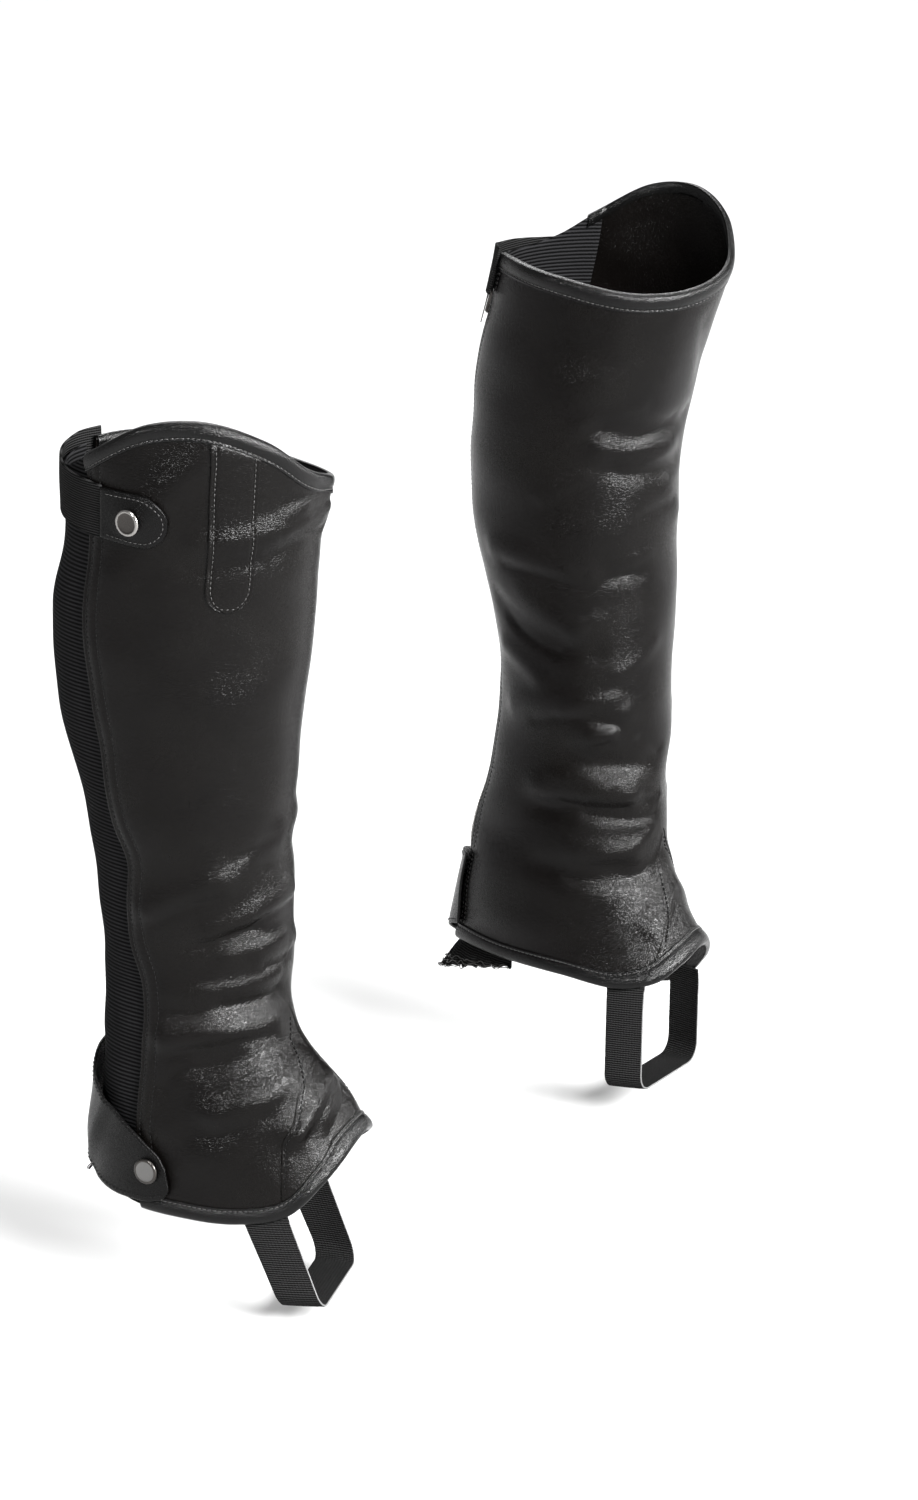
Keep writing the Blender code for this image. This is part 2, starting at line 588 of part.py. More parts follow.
def heel_gather(side, leg, look):
    """Gathered foot of the elastic: it hangs in small waves below the hem and flares out at the back."""
    angles = np.linspace(186.0, 248.0, 4 * GATHER_WAVES + 1)
    along = np.linspace(0.0, 1.0, len(angles))
    fall = np.array([-5.0, 2.5, 9.0, GATHER_DROP])[:, None]
    hang = np.clip((fall - 2.5) / (GATHER_DROP - 2.5), 0.0, 1.0)
    heights = hem_height(angles) - fall * (1 - 0.45 * hang * along**2)
    swing = np.sin(2 * math.pi * GATHER_WAVES * along)
    out = GATHER_SEAT + hang * (GATHER_FLARE * (1 - along) + 1.0 + 1.8 * swing)
    angles = np.broadcast_to(angles, heights.shape)
    inner = wall(leg, angles, heights, out - 1.1)
    outer = wall(leg, angles, heights, out)
    sheet(f"{side}_heel_gather", leg, inner, outer, look)


for old in list(bpy.data.objects):
    bpy.data.objects.remove(old, do_unlink=True)

COLLECTION = bpy.data.collections.new("half_chaps")
bpy.context.scene.collection.children.link(COLLECTION)

BLACK_LEATHER = material("black leather", (0.012, 0.012, 0.013), 0.38)
BOUND_LEATHER = material("binding leather", (0.014, 0.014, 0.015), 0.3)
RIBBED_ELASTIC = material("ribbed elastic", (0.01, 0.01, 0.011), 0.8)
STRAP_WEBBING = material("strap webbing", (0.012, 0.012, 0.012), 0.75)
ZIP_BLACK = material("zip", (0.03, 0.03, 0.032), 0.45)
DARK_STEEL = material("dark steel", (0.22, 0.21, 0.2), 0.3, 1.0)
PALE_STEEL = material("pale steel", (0.55, 0.53, 0.5), 0.25, 1.0)

for SIDE, LEG in LEGS.items():
    leather_panel(SIDE, LEG, BLACK_LEATHER)
    instep_gusset(SIDE, LEG, BLACK_LEATHER)
    elastic_panel(SIDE, LEG, RIBBED_ELASTIC)
    zip_closure(SIDE, LEG, ZIP_BLACK)
    zip_slider(SIDE, LEG, DARK_STEEL)
    bindings(SIDE, LEG, BOUND_LEATHER)
    top_strap(SIDE, LEG, STRAP_WEBBING)
    strap_end(SIDE, LEG, BLACK_LEATHER)
    ankle_tab(SIDE, LEG, BLACK_LEATHER)
    side_patch(SIDE, LEG, BLACK_LEATHER)
    stirrup(SIDE, LEG, RIBBED_ELASTIC)
    heel_gather(SIDE, LEG, RIBBED_ELASTIC)
    strap_face = TOP_STRAP[-1][2] + STRAP_END_THICKNESS + SEAM_GAP
    snap(f"{SIDE}_top_snap", LEG, TOP_SNAP[0], LEG["front_top"] + TOP_SNAP[1], strap_face, DARK_STEEL)
    tab_face = TAB_LIFT + LEATHER + SEAM_GAP
    snap(f"{SIDE}_ankle_snap", LEG, *ANKLE_SNAP, tab_face, PALE_STEEL)
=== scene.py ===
# %% [markdown]
# # A pair of worn half chaps
#
# Half chaps are leather gaiters for riding. Each one is an open tube: a large piece of black leather
# wraps the leg from the outer side round the front, a ribbed elastic panel closes the back, a zip joins
# the two, and straps with press studs hold the top and the heel. They are shown here in the shape that
# they take on a leg, and the leg itself is left out.
#
# The notebook starts from the plain solids of the CAD model. Every piece below is worked out again as a
# surface with more points, finer folds and its own material, in the same place as the solid it replaces.

import math

import bmesh
import bpy
import numpy as np
from mathutils import Matrix, Vector


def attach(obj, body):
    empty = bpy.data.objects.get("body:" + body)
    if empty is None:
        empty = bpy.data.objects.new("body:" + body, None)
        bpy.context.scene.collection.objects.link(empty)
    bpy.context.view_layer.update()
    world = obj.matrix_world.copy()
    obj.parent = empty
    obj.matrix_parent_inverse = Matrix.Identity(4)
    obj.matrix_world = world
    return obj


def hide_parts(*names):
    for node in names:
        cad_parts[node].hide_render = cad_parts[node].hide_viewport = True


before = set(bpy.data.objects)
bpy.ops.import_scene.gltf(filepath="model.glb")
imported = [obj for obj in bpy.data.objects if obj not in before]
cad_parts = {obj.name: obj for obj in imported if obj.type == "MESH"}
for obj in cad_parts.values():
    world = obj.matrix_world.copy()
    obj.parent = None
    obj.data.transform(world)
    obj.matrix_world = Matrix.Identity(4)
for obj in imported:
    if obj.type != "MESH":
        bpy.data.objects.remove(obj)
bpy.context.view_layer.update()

# %% [markdown]
# ## The camera
#
# The photograph looks along +Y from a little above the knee, from about 3.6 metres away, so a long lens
# is used. Its place comes from fitting the outlines of both chaps, and stays fixed for every render.

# %% Camera
camera_data = bpy.data.cameras.new("camera")
camera_data.sensor_fit = "VERTICAL"
camera_data.sensor_height = 24.0
camera_data.lens = 105.0
camera = bpy.data.objects.new("camera", camera_data)
camera.location = (0.155, -3.502, 1.021)
camera.rotation_euler = (math.radians(90.0 - 17.24), 0.0, 0.0)
bpy.context.scene.collection.objects.link(camera)
bpy.context.scene.camera = camera

# %% [markdown]
# ## The measurements
#
# All the sizes of the chaps are kept in short tables, in millimetres and degrees. An angle of 0 is the
# front of the leg, +90 its outer side, 180 the back and -90 the inner side. Heights are above the ground.
# These are the same values that the CAD model was made from, so that the dressed pieces fit it.

# %% Thicknesses and widths
MM = 0.001
LEATHER = 1.8
ELASTIC = 1.5
WEBBING = 1.5
SEAM_GAP = 0.3
TOP_BINDING_DEPTH = 10.0
HEM_BINDING_DEPTH = 9.0
ELASTIC_LAP = 8.0
ZIP_OPENING = 10.0
ZIP_LAP = 7.0
STRAP_HALF_HEIGHT = 15.0
STRAP_END_HALF_HEIGHT = 14.0
STRAP_END_THICKNESS = 2.6
PATCH_HALF_ANGLE = 10.5
PATCH_FOOT = 421.0
PATCH_TALL = 7.4  # times its half width
PATCH_ANGLES = (59.5, 63.0)  # of its middle, at the foot and at the head
PATCH_THICKNESS = 1.1
SNAP_RADIUS = 7.6
SNAP_HEIGHT = 2.2
GATHER_DROP = 20.0
GATHER_FLARE = 12.0
GATHER_SEAT = -2.7
GATHER_ANGLES = (186.0, 248.0)
TAB_LIFT = 4.1
TAB_ROUND = 10.0  # degrees that its round end takes up
STIRRUP_WIDTH = 24.0
STIRRUP_THICKNESS = 1.3
EDGE_SEAM_AT = 2.4  # from the edge of the strap's end and of the tab
ZIP_SPAN = (0.05, 0.955)  # shares of the way from the hem to the top
RUNNER_AT = 0.93
ORIGIN_HEIGHT = 390.0
FLAT_RADIUS = 60.0  # of the roll that turns angles into the cloth's UV

# %% Sections of the two legs: height, centre ahead of the axis, half depth, half width
RIGHT_SECTIONS = (
    (60, 29, 90, 47), (84, 25.5, 86.5, 46.5), (97, 22, 83.5, 46), (110, 17.5, 78.5, 45), (123, 14, 74, 44.5),
    (137, 9.5, 68, 44), (150, 5.5, 62, 43.5), (163, 1.5, 57, 43), (178, -1, 54, 43), (216, -1, 55, 43),
    (255, -2, 57.5, 46), (294, -5, 61, 50), (332, -8, 67, 53), (371, -8.5, 72.5, 56),
    (409, -7, 75, 57.5), (447, -1, 74, 58), (485, 2, 76, 59), (530, 5, 80, 60),
)
LEFT_SECTIONS = (
    (70, 14, 98, 47), (91, 9, 92, 47), (106, 4, 85, 46), (120, 0, 78, 46), (134, -3, 72, 45),
    (149, -4, 67, 44), (165, -4, 64, 43.5), (180, -3, 62, 43), (200, 0, 58, 43), (220, 3, 56.5, 43),
    (248, 5, 56, 44), (276, 7, 54.5, 46), (304, 5.5, 56, 49), (332, 2, 60, 51), (359, -1, 63, 54),
    (387, -2, 65, 55), (428, 0, 67, 57), (469, 8, 69.5, 58), (505, 18, 70, 59), (534, 25.5, 70.5, 60),
    (570, 31, 72, 60),
)

# %% Cut of the hem, the top and the seams
HEM = (
    (0, 107), (25, 102), (50, 85), (69, 67), (88, 62), (110, 63), (133, 66), (160, 76), (180, 85),
    (207, 93), (250, 93), (274, 91), (300, 87), (312, 90), (336, 101),
)
TOP_RISE = (
    (0, 0), (25, 9), (50, 28), (79, 40), (100, 37), (127, 19), (145, 7), (165, 2), (180, 2),
    (202, 5), (226, 7), (260, 4), (313, -5), (340, -4),
)
GUSSET_SEAM = (
    (-46, 92), (-42, 99), (-30, 113), (-15, 134), (-6, 155), (0, 176), (12, 166), (29, 147),
    (50, 121), (62, 103), (68, 82), (70, 67.5),
)
LEFT_EDGES = (
    (0.0, 126, -150), (0.12, 122, -150), (0.25, 115, -151), (0.42, 118, -157), (0.55, 121, -158),
    (0.76, 125, -157), (0.9, 129, -152), (1.0, 131, -150),
)
RIGHT_EDGES = (
    (0.0, 126, -150), (0.13, 123.5, -150), (0.2, 118, -150), (0.26, 112.5, -151), (0.3, 113.5, -152),
    (0.36, 120, -154), (0.41, 119.5, -156), (0.46, 116.5, -157), (0.51, 121, -158), (0.62, 121, -158),
    (0.7, 123, -157), (0.79, 126, -156), (0.88, 129, -153), (1.0, 131, -150),
)
ANKLE_TAB = (
    (215, 104, 150), (198, 98, 149), (180, 89, 144), (162, 78, 134), (143, 71, 124), (129, 70, 114),
    (119, 71, 105), (114, 74, 97), (112, 78, 91),
)
TOP_STRAP = (
    (215, -4, 4.3), (203, -5, 4.8), (192, -7, 3.6), (178, -8, 1.4), (150, -11, 1.2), (134, -12, 2.3),
    (121, -14, 2.3),
)
STRAP_END_ANGLES = (120.4, 89.0)
STRAP_END_DROPS = (-14, -17)
TOP_SNAP = (104.0, -16.0)
ANKLE_SNAP = (120.0, 89.0)

# %% [markdown]
# ## Folds
#
# Leather that has been worn creases where the ankle and the knee bend. Each fold here is one soft ridge or
# trough along a slightly bowed line: two ends, how far the line bows, how wide the fold is, and how far it
# rises. The first table of each leg holds the large folds of the CAD model, and the second the fine
# creases between them, which only this dressed model has.

# %% Large folds: angle and height of each end, bow, half width, rise
RIGHT_FOLDS = (
    (-12, 466, 40, 461, 3, 8, 1.6), (-10, 450, 38, 446, 2, 8, -1.2),
    (-20, 290, 15, 287, 2, 8, 2.4), (-15, 272, 30, 268, -2, 9, -1.4),
    (4, 250, 68, 232, 3, 7, 2.2), (61, 262, 106, 242, 3, 7, 2.0), (10, 234, 70, 224, 2, 7, -1.6),
    (-5, 219, 36, 216, 2, 6, 1.8), (10, 190, 90, 184, -4, 8, -2.4), (26, 176, 100, 166, 3, 7, 2.8),
    (8, 161, 82, 152, 2, 7, -2.4), (38, 142, 86, 124, 3, 8, 3.0), (90, 118, 110, 100, 0, 8, -1.6),
    (2, 141, 52, 114, 4, 7, 2.8), (0, 126, 40, 107, 3, 7, -1.0),
    (-30, 250, -100, 240, 4, 8, 2.2), (-40, 226, -120, 218, -4, 9, -2.0), (-35, 196, -110, 188, 3, 8, 2.4),
    (-40, 168, -120, 160, 3, 9, -2.2), (-60, 142, -120, 134, 3, 8, 2.4), (-60, 330, -120, 318, 4, 10, -1.6),
)
LEFT_FOLDS = (
    (12, 437, -52, 437, -3, 8, -2.2), (-4, 424, -52, 425, -2, 7, 1.6), (6, 411, -44, 412, -3, 7, -1.8),
    (-28, 345, -60, 345, 2, 7, -1.6), (-60, 347, -120, 355, 2, 8, 1.8), (-58, 296, -82, 300, 0, 8, -1.6),
    (-82, 301, -126, 321, -3, 8, -2.0), (-98, 276, -128, 292, 2, 7, 1.8), (-40, 258, -120, 256, 8, 8, 1.8),
    (-52, 243, -60, 243, 0, 9, 2.6), (-74, 231, -18, 222, -2, 8, -2.2), (-92, 207, -34, 204, 2, 9, 3.0),
    (-92, 195, -18, 198, -3, 7, -2.6), (-30, 165, -64, 168, 2, 9, 2.4), (-88, 157, -2, 161, -3, 8, -2.0),
    (-2, 139, -30, 120, 3, 7, 2.2), (40, 250, 100, 242, 4, 8, 2.0), (30, 222, 104, 214, -3, 9, -2.0),
    (36, 196, 100, 186, 3, 8, 2.4), (30, 168, 96, 160, 3, 9, -2.2), (12, 138, 50, 116, 3, 7, 2.4),
)

# %% Fine creases, in the same columns
RIGHT_CREASES = (
    (4, 141, 50, 114, 4, 2.6, 1.3), (8, 134, 46, 111, 4, 3.0, -1.0), (40, 240, 74, 228, 1, 2.6, 0.9),
    (18, 203, 74, 197, -1, 3.0, 1.1), (50, 137, 84, 125, 2, 2.8, 1.0), (14, 224, 60, 216, 1, 2.8, 0.9),
    (26, 474, 74, 460, -3, 7.0, 1.9), (30, 459, 78, 446, -3, 7.0, -1.0), (74, 514, 102, 472, 0, 9.5, 2.8),
    (-6, 477, 36, 474, 2, 3.0, 1.2), (96, 455, 112, 440, 0, 9.0, 1.0),
    (-4, 470, 34, 464, 2, 3.0, 1.4), (0, 459, 40, 452, 2, 3.5, -1.2), (20, 284, 52, 276, 1, 4.0, -0.9),
    (2, 241, 40, 236, 2, 3.0, -1.4), (40, 232, 84, 222, 2, 3.5, -1.4), (66, 252, 104, 236, 2, 3.0, -1.2),
    (0, 210, 30, 207, 1, 3.0, -1.2), (14, 193, 62, 188, -2, 3.0, -1.4), (30, 168, 98, 158, 3, 3.0, -1.5),
    (26, 184, 88, 177, 2, 3.0, 0.9), (44, 148, 78, 138, 2, 3.0, -1.2), (60, 126, 88, 112, 1, 3.5, -1.2),
    (58, 131, 76, 122, 1, 3.0, 1.0), (96, 150, 108, 138, 1, 4.0, -1.2), (0, 127, 34, 108, 3, 2.8, -1.0),
    (2, 135, 30, 120, 3, 2.6, 0.9), (-20, 232, -70, 226, 2, 3.5, -1.4), (-30, 178, -90, 172, 2, 3.5, -1.4),
)
LEFT_CREASES = (
    (-48, 246, -62, 240, 0, 2.8, 1.5), (-22, 217, -58, 207, 1, 3.6, 0.8), (-14, 178, -50, 166, -2, 3.6, 0.8),
    (-46, 268, -80, 258, 2, 3.6, 0.9), (-18, 358, -66, 340, 1, 4.0, 0.6), (-34, 452, -66, 440, 2, 3.6, 0.9),
    (-60, 408, -84, 392, 1, 4.0, 1.0), (-56, 318, -82, 300, 2, 4.0, 0.9), (-12, 300, -44, 284, -2, 4.0, 0.7),
    (-30, 505, -54, 500, 0, 12.0, 1.5), (-26, 470, -60, 466, 0, 14.0, 1.2), (-40, 372, -76, 368, 0, 12.0, 1.3),
    (0, 498, 14, 470, 0, 9.0, -1.4), (-6, 396, 10, 378, 0, 7.0, 1.5), (-100, 330, -70, 310, 0, 8.0, 1.2),
    (-4, 440, -44, 427, -2, 3.6, -0.8), (-8, 420, -38, 412, -2, 3.2, 0.7), (2, 386, -26, 380, 1, 4.0, -1.0),
    (-36, 345, -60, 336, 1, 3.4, -0.6), (-66, 338, -112, 346, 2, 3.5, -1.2),
    (-84, 294, -120, 311, -2, 3.0, -1.2),
    (-46, 250, -100, 249, 5, 3.0, -1.0), (-50, 239, -64, 238, 0, 3.0, -1.0), (-40, 214, -86, 216, 1, 3.5, 0.9),
    (-34, 197, -76, 199, -1, 3.0, -1.5), (-8, 189, -60, 192, -2, 3.0, -1.2),
    (-20, 152, -70, 150, -2, 3.5, -1.2),
    (-26, 240, -6, 230, 1, 3.0, -1.2), (-16, 205, -2, 200, 1, 3.0, 1.2), (-6, 128, -24, 112, 2, 2.8, -1.0),
    (36, 232, 90, 226, 2, 3.5, -1.4), (32, 180, 92, 172, 2, 3.5, -1.4),
)

# %% The two legs
legs = {
    "right": {
        "outward": -1, "axis": (8.0, -2.0), "toe_in": 13.0, "front_top": 488.0, "edges": RIGHT_EDGES,
        "sections": RIGHT_SECTIONS, "folds": RIGHT_FOLDS + RIGHT_CREASES,
        "stirrup_top": (34.0, 60.0), "stirrup_bottom": (58.0, 81.0), "stirrup_low": 12.0,
    },
    "left": {
        "outward": 1, "axis": (227.0, 339.0), "toe_in": 30.0, "front_top": 526.0, "edges": LEFT_EDGES,
        "sections": LEFT_SECTIONS, "folds": LEFT_FOLDS + LEFT_CREASES,
        "stirrup_top": (45.0, 67.0), "stirrup_bottom": (44.0, 66.0), "stirrup_low": 20.0,
    },
}
print({side: len(leg["folds"]) for side, leg in legs.items()}, "folds")

# %% [markdown]
# ## One surface for every piece
#
# A table gives a few values, and a smooth curve through them gives all the rest. A spline object could do
# this too, but a cubic in numpy handles a whole grid of points at once.

# %% Curves through a table
def smooth(x, table, column):
    """Value at x: on each span, the cubic with both ends' values and slopes (a Hermite curve)."""
    rows = np.asarray(table, float)
    xs, ys = rows[:, 0], rows[:, column]
    slopes = np.gradient(ys, xs)
    x = np.clip(x, xs[0], xs[-1])
    i = np.clip(np.searchsorted(xs, x) - 1, 0, len(xs) - 2)
    span = xs[i + 1] - xs[i]
    t = (x - xs[i]) / span
    ends = ys[i] * (1 + 2 * t) * (1 - t) ** 2 + ys[i + 1] * t * t * (3 - 2 * t)
    return ends + span * (slopes[i] * t * (1 - t) ** 2 + slopes[i + 1] * t * t * (t - 1))


def round_the_leg(angle, table, column):
    """The same for a table that goes once round the leg: its ends are joined."""
    rows = np.asarray(table, float)
    turn = np.array([360.0] + [0.0] * (rows.shape[1] - 1))
    wrapped = np.concatenate([rows[-3:] - turn, rows, rows[:3] + turn])
    return smooth(np.mod(angle, 360.0), wrapped, column)


def hem_height(angle):
    """Height of the hem at an angle."""
    return round_the_leg(angle, HEM, 1)


def top_height(leg, angle):
    """Height of the top edge: the front's height and its rise at the angle."""
    return leg["front_top"] + round_the_leg(angle, TOP_RISE, 1)


# %% Folds and soft waves
WAVES = (
    (2, 170.0, 0.45, 40.0), (3, -95.0, 0.35, 200.0), (1, 64.0, 0.22, 100.0), (4, 74.0, 0.2, 310.0),
    (5, -47.0, 0.16, 20.0), (2, 36.0, 0.12, 250.0),
)


def fold_rise(leg, angle, height, radius):
    """Sum over the folds of depth * exp(-distance^2 / half_width^2), with the distance from the bowed line."""
    rise = np.zeros(np.broadcast(angle, height).shape)
    per_degree = np.radians(1.0) * radius
    for angle_a, height_a, angle_b, height_b, bow, half_width, depth in leg["folds"]:
        along = (angle_b - angle_a) * per_degree
        climb = height_b - height_a
        across = (np.mod(angle - angle_a + 180.0, 360.0) - 180.0) * per_degree
        up = height - height_a
        t = np.clip((across * along + up * climb) / (along**2 + climb**2), 0.0, 1.0)
        up = up - 4 * bow * t * (1 - t)
        distance = (across - t * along) ** 2 + (up - t * climb) ** 2
        rise += depth * np.exp(-distance / half_width**2)
    return rise


def soft_waves(angle, height):
    """Sum of sines in turns round the leg and wavelengths up it, twice as strong over the ankle."""
    ankle = 1.0 + np.exp(-(((height - 160.0) / 70.0) ** 2))
    turns, length, size, phase = np.array(WAVES).T
    swing = np.sin(np.radians(turns * angle[..., None] + phase) + 2 * np.pi * height[..., None] / length)
    return ankle * (size * swing).sum(axis=-1)


# %% Skin of the leg
def skin(leg, angle, height):
    """Inner face of the leather: x = centre + half_depth cos(angle), y = half_width sin(angle), both pushed
    out by the folds and the soft waves."""
    angle, height = np.broadcast_arrays(np.asarray(angle, float), np.asarray(height, float))
    centre = smooth(height, leg["sections"], 1)
    depth = smooth(height, leg["sections"], 2) - LEATHER
    width = smooth(height, leg["sections"], 3) - LEATHER
    push = fold_rise(leg, angle, height, (depth + width) / 2) + soft_waves(angle, height)
    turn = np.radians(angle)
    return np.stack([centre + (depth + push) * np.cos(turn), (width + push) * np.sin(turn), height], axis=-1)


def wall(leg, angle, height, out):
    """Point of the skin moved out by a distance along the normal, the cross product of its two slopes."""
    angle, height = np.broadcast_arrays(np.asarray(angle, float), np.asarray(height, float))
    round_step = skin(leg, angle + 0.5, height) - skin(leg, angle - 0.5, height)
    up_step = skin(leg, angle, height + 0.5) - skin(leg, angle, height - 0.5)
    normal = np.cross(round_step, up_step)
    normal /= np.linalg.norm(normal, axis=-1, keepdims=True)
    return skin(leg, angle, height) + normal * np.asarray(out, float)[..., None]


def turn_for(leg, angle, height, distance):
    """Angle reached by going a distance round the leg."""
    step = skin(leg, angle + 0.5, height) - skin(leg, angle - 0.5, height)
    return angle + distance / np.linalg.norm(step, axis=-1)


def length_along(line):
    """Length from the first point of a line to each of its points."""
    return np.concatenate([[0.0], np.cumsum(np.linalg.norm(np.diff(line, axis=0), axis=-1))])


def placed(leg, points):
    """From a leg's own millimetres to the frame's metres: turned by the foot's angle and moved to its axis."""
    toe = math.radians(leg["toe_in"])
    forward = np.array([math.cos(toe), -math.sin(toe), 0.0])
    outward = leg["outward"] * np.array([math.sin(toe), math.cos(toe), 0.0])
    base = np.array([*leg["axis"], -ORIGIN_HEIGHT])
    up = np.array([0.0, 0.0, 1.0])
    return (base + points[..., :1] * forward + points[..., 1:2] * outward + points[..., 2:] * up) * MM


# %% [markdown]
# ## From arrays to meshes
#
# A sheet of leather has two faces and a cut edge. Two grids of points give the faces, and a rim of three
# narrow strips rounds the edge. Solidify could thicken a single sheet, but here the inner face is known
# exactly, and it keeps its distance from the layers under it.

# %% Closed wall between two grids
def grid_quads(rows, columns, start=0):
    """Corner numbers of the quads of a grid."""
    corner = start + np.arange(rows - 1)[:, None] * columns + np.arange(columns - 1)
    return np.stack([corner, corner + 1, corner + columns + 1, corner + columns], axis=-1).reshape(-1, 4)


def ring_quads(count, around):
    """Corner numbers of the quads between rings of points that follow one another."""
    ring = np.arange(count - 1)[:, None] * around + np.arange(around)
    onward = np.roll(ring, -1, axis=1)
    return np.stack([ring, onward, onward + around, ring + around], axis=-1).reshape(-1, 4)


def repeated(faces, points_each, count):
    """The faces of one small shape, for each of its copies."""
    return (faces[None] + points_each * np.arange(count)[:, None, None]).reshape(-1, 4)


def rim_of(rows, columns):
    """Numbers of the border points of a grid, once round."""
    return np.concatenate([
        np.arange(columns), np.arange(1, rows) * columns + columns - 1,
        (rows - 1) * columns + np.arange(columns - 2, -1, -1), np.arange(rows - 2, 0, -1) * columns,
    ])


def unit(vectors):
    """Each vector divided by its length."""
    return vectors / np.maximum(np.linalg.norm(vectors, axis=-1, keepdims=True), 1e-9)


def turn_outward(mesh, merge=None):
    """Turns the faces of a closed mesh outward, once the points closer than a distance are one."""
    work = bmesh.new()
    work.from_mesh(mesh)
    if merge:
        bmesh.ops.remove_doubles(work, verts=work.verts, dist=merge)
    bmesh.ops.recalc_face_normals(work, faces=work.faces)
    work.to_mesh(mesh)
    work.free()


def new_piece(name, points, faces, looks, uv=None, sharp=None):
    """Object from points in metres and faces, with its normals outward and a UV per point in metres."""
    mesh = bpy.data.meshes.new(name)
    mesh.from_pydata(points.tolist(), [], faces.tolist() if isinstance(faces, np.ndarray) else faces)
    turn_outward(mesh)
    if uv is not None:
        corner = np.empty(len(mesh.loops), np.int32)
        mesh.loops.foreach_get("vertex_index", corner)
        mesh.uv_layers.new(name="cloth").data.foreach_set("uv", uv[corner].ravel())
    mesh.shade_smooth()
    if sharp:
        mesh.set_sharp_from_angle(angle=math.radians(sharp))
    mesh.materials.append(looks)
    made = bpy.data.objects.new(name, mesh)
    bpy.context.scene.collection.objects.link(made)
    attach(made, "root")
    return made


def cloth_piece(name, leg, angles, heights, outer, inner, looks):
    """Closed wall: outer grid, inner grid, and between them a rim that bulges by a quarter of the thickness.

    rim point = middle + (outer - middle) cos(t) + outward * thickness / 4 * sin(t), t from 0 to 180 degrees.
    """
    rows, columns = outer.shape[:2]
    rim = rim_of(rows, columns)
    away = np.zeros(outer.shape)
    away[0] += unit(outer[0] - outer[1])
    away[-1] += unit(outer[-1] - outer[-2])
    away[:, 0] += unit(outer[:, 0] - outer[:, 1])
    away[:, -1] += unit(outer[:, -1] - outer[:, -2])
    top, foot = outer.reshape(-1, 3)[rim], inner.reshape(-1, 3)[rim]
    middle = (top + foot) / 2
    bulge = unit(away.reshape(-1, 3)[rim]) * np.linalg.norm(top - foot, axis=-1, keepdims=True) / 4
    turns = (math.pi / 3, 2 * math.pi / 3)
    strips = [middle + (top - middle) * math.cos(t) + bulge * math.sin(t) for t in turns]
    count = rows * columns
    points = placed(leg, np.concatenate([outer.reshape(-1, 3), inner.reshape(-1, 3), *strips]))
    loops = [rim, 2 * count + np.arange(len(rim)), 2 * count + len(rim) + np.arange(len(rim)), count + rim]
    sides = [np.stack([a, b, np.roll(b, -1), np.roll(a, -1)], axis=-1) for a, b in zip(loops, loops[1:])]
    quads = np.concatenate([grid_quads(rows, columns), grid_quads(rows, columns, count)[:, ::-1], *sides])
    flat = np.stack(np.broadcast_arrays(np.radians(angles) * FLAT_RADIUS, heights), axis=-1)
    flat = flat.reshape(-1, 2) * MM
    uv = np.concatenate([flat, flat, flat[rim], flat[rim]])
    return new_piece(name, points, quads, looks, uv)


def cut_of(outer, row=None):
    """Flat size of a grid of points: longest row, or the row named, longest column, and area, in metres.

    A quad's area is half the length of the cross product of its diagonals.
    """
    round_way = np.linalg.norm(np.diff(outer, axis=1), axis=-1)
    up_way = np.linalg.norm(np.diff(outer, axis=0), axis=-1)
    diagonals = outer[1:, 1:] - outer[:-1, :-1], outer[1:, :-1] - outer[:-1, 1:]
    area = np.linalg.norm(np.cross(*diagonals), axis=-1) / 2
    widths = round_way.sum(axis=1)
    width, length = (widths.max() if row is None else widths[row]) * MM, up_way.sum(axis=0).max() * MM
    return round(float(width), 3), round(float(length), 3), round(float(area.sum()) * MM * MM, 4)


def close_to_edges(count, edge):
    """Shares from 0 to 1, with extra ones close to both ends."""
    inner = np.linspace(4 * edge, 1 - 4 * edge, count)
    return np.concatenate([[0.0, edge, 2 * edge], inner, [1 - 2 * edge, 1 - edge, 1.0]])


# %% [markdown]
# ## Materials
#
# Black leather shows itself by its gloss, not its colour. The grain is a shader node group, built once:
# small closed pores from a Voronoi texture, and slow clouds that make some places duller than others.
# Each leather uses the group with its own pore size.

# %% Helpers for nodes
def node(tree, kind, inputs=(), **settings):
    """New node with its settings, and its inputs linked or set."""
    made = tree.nodes.new(kind)
    for key, value in settings.items():
        setattr(made, key, value)
    for key, value in dict(inputs).items():
        if isinstance(value, bpy.types.NodeSocket):
            tree.links.new(value, made.inputs[key])
        else:
            made.inputs[key].default_value = value
    return made


def maths(tree, operation, first, second=0.0, clamp=False):
    """Math node on two values or sockets."""
    return node(tree, "ShaderNodeMath", {0: first, 1: second}, operation=operation, use_clamp=clamp).outputs[0]


def noise(tree, vector, scale, detail):
    """Noise from 0 to 1 at a vector."""
    made = node(tree, "ShaderNodeTexNoise", {"Vector": vector, "Scale": scale, "Detail": detail})
    return made.outputs["Fac"]


def new_group(name, inputs, outputs):
    """Node group with float or vector inputs and float outputs."""
    made = bpy.data.node_groups.new(name, "ShaderNodeTree")
    for label, kind, value in inputs:
        socket = made.interface.new_socket(label, in_out="INPUT", socket_type=kind)
        if value is not None:
            socket.default_value = value
    for label in outputs:
        made.interface.new_socket(label, in_out="OUTPUT", socket_type="NodeSocketFloat")
    return made, made.nodes.new("NodeGroupInput"), made.nodes.new("NodeGroupOutput")


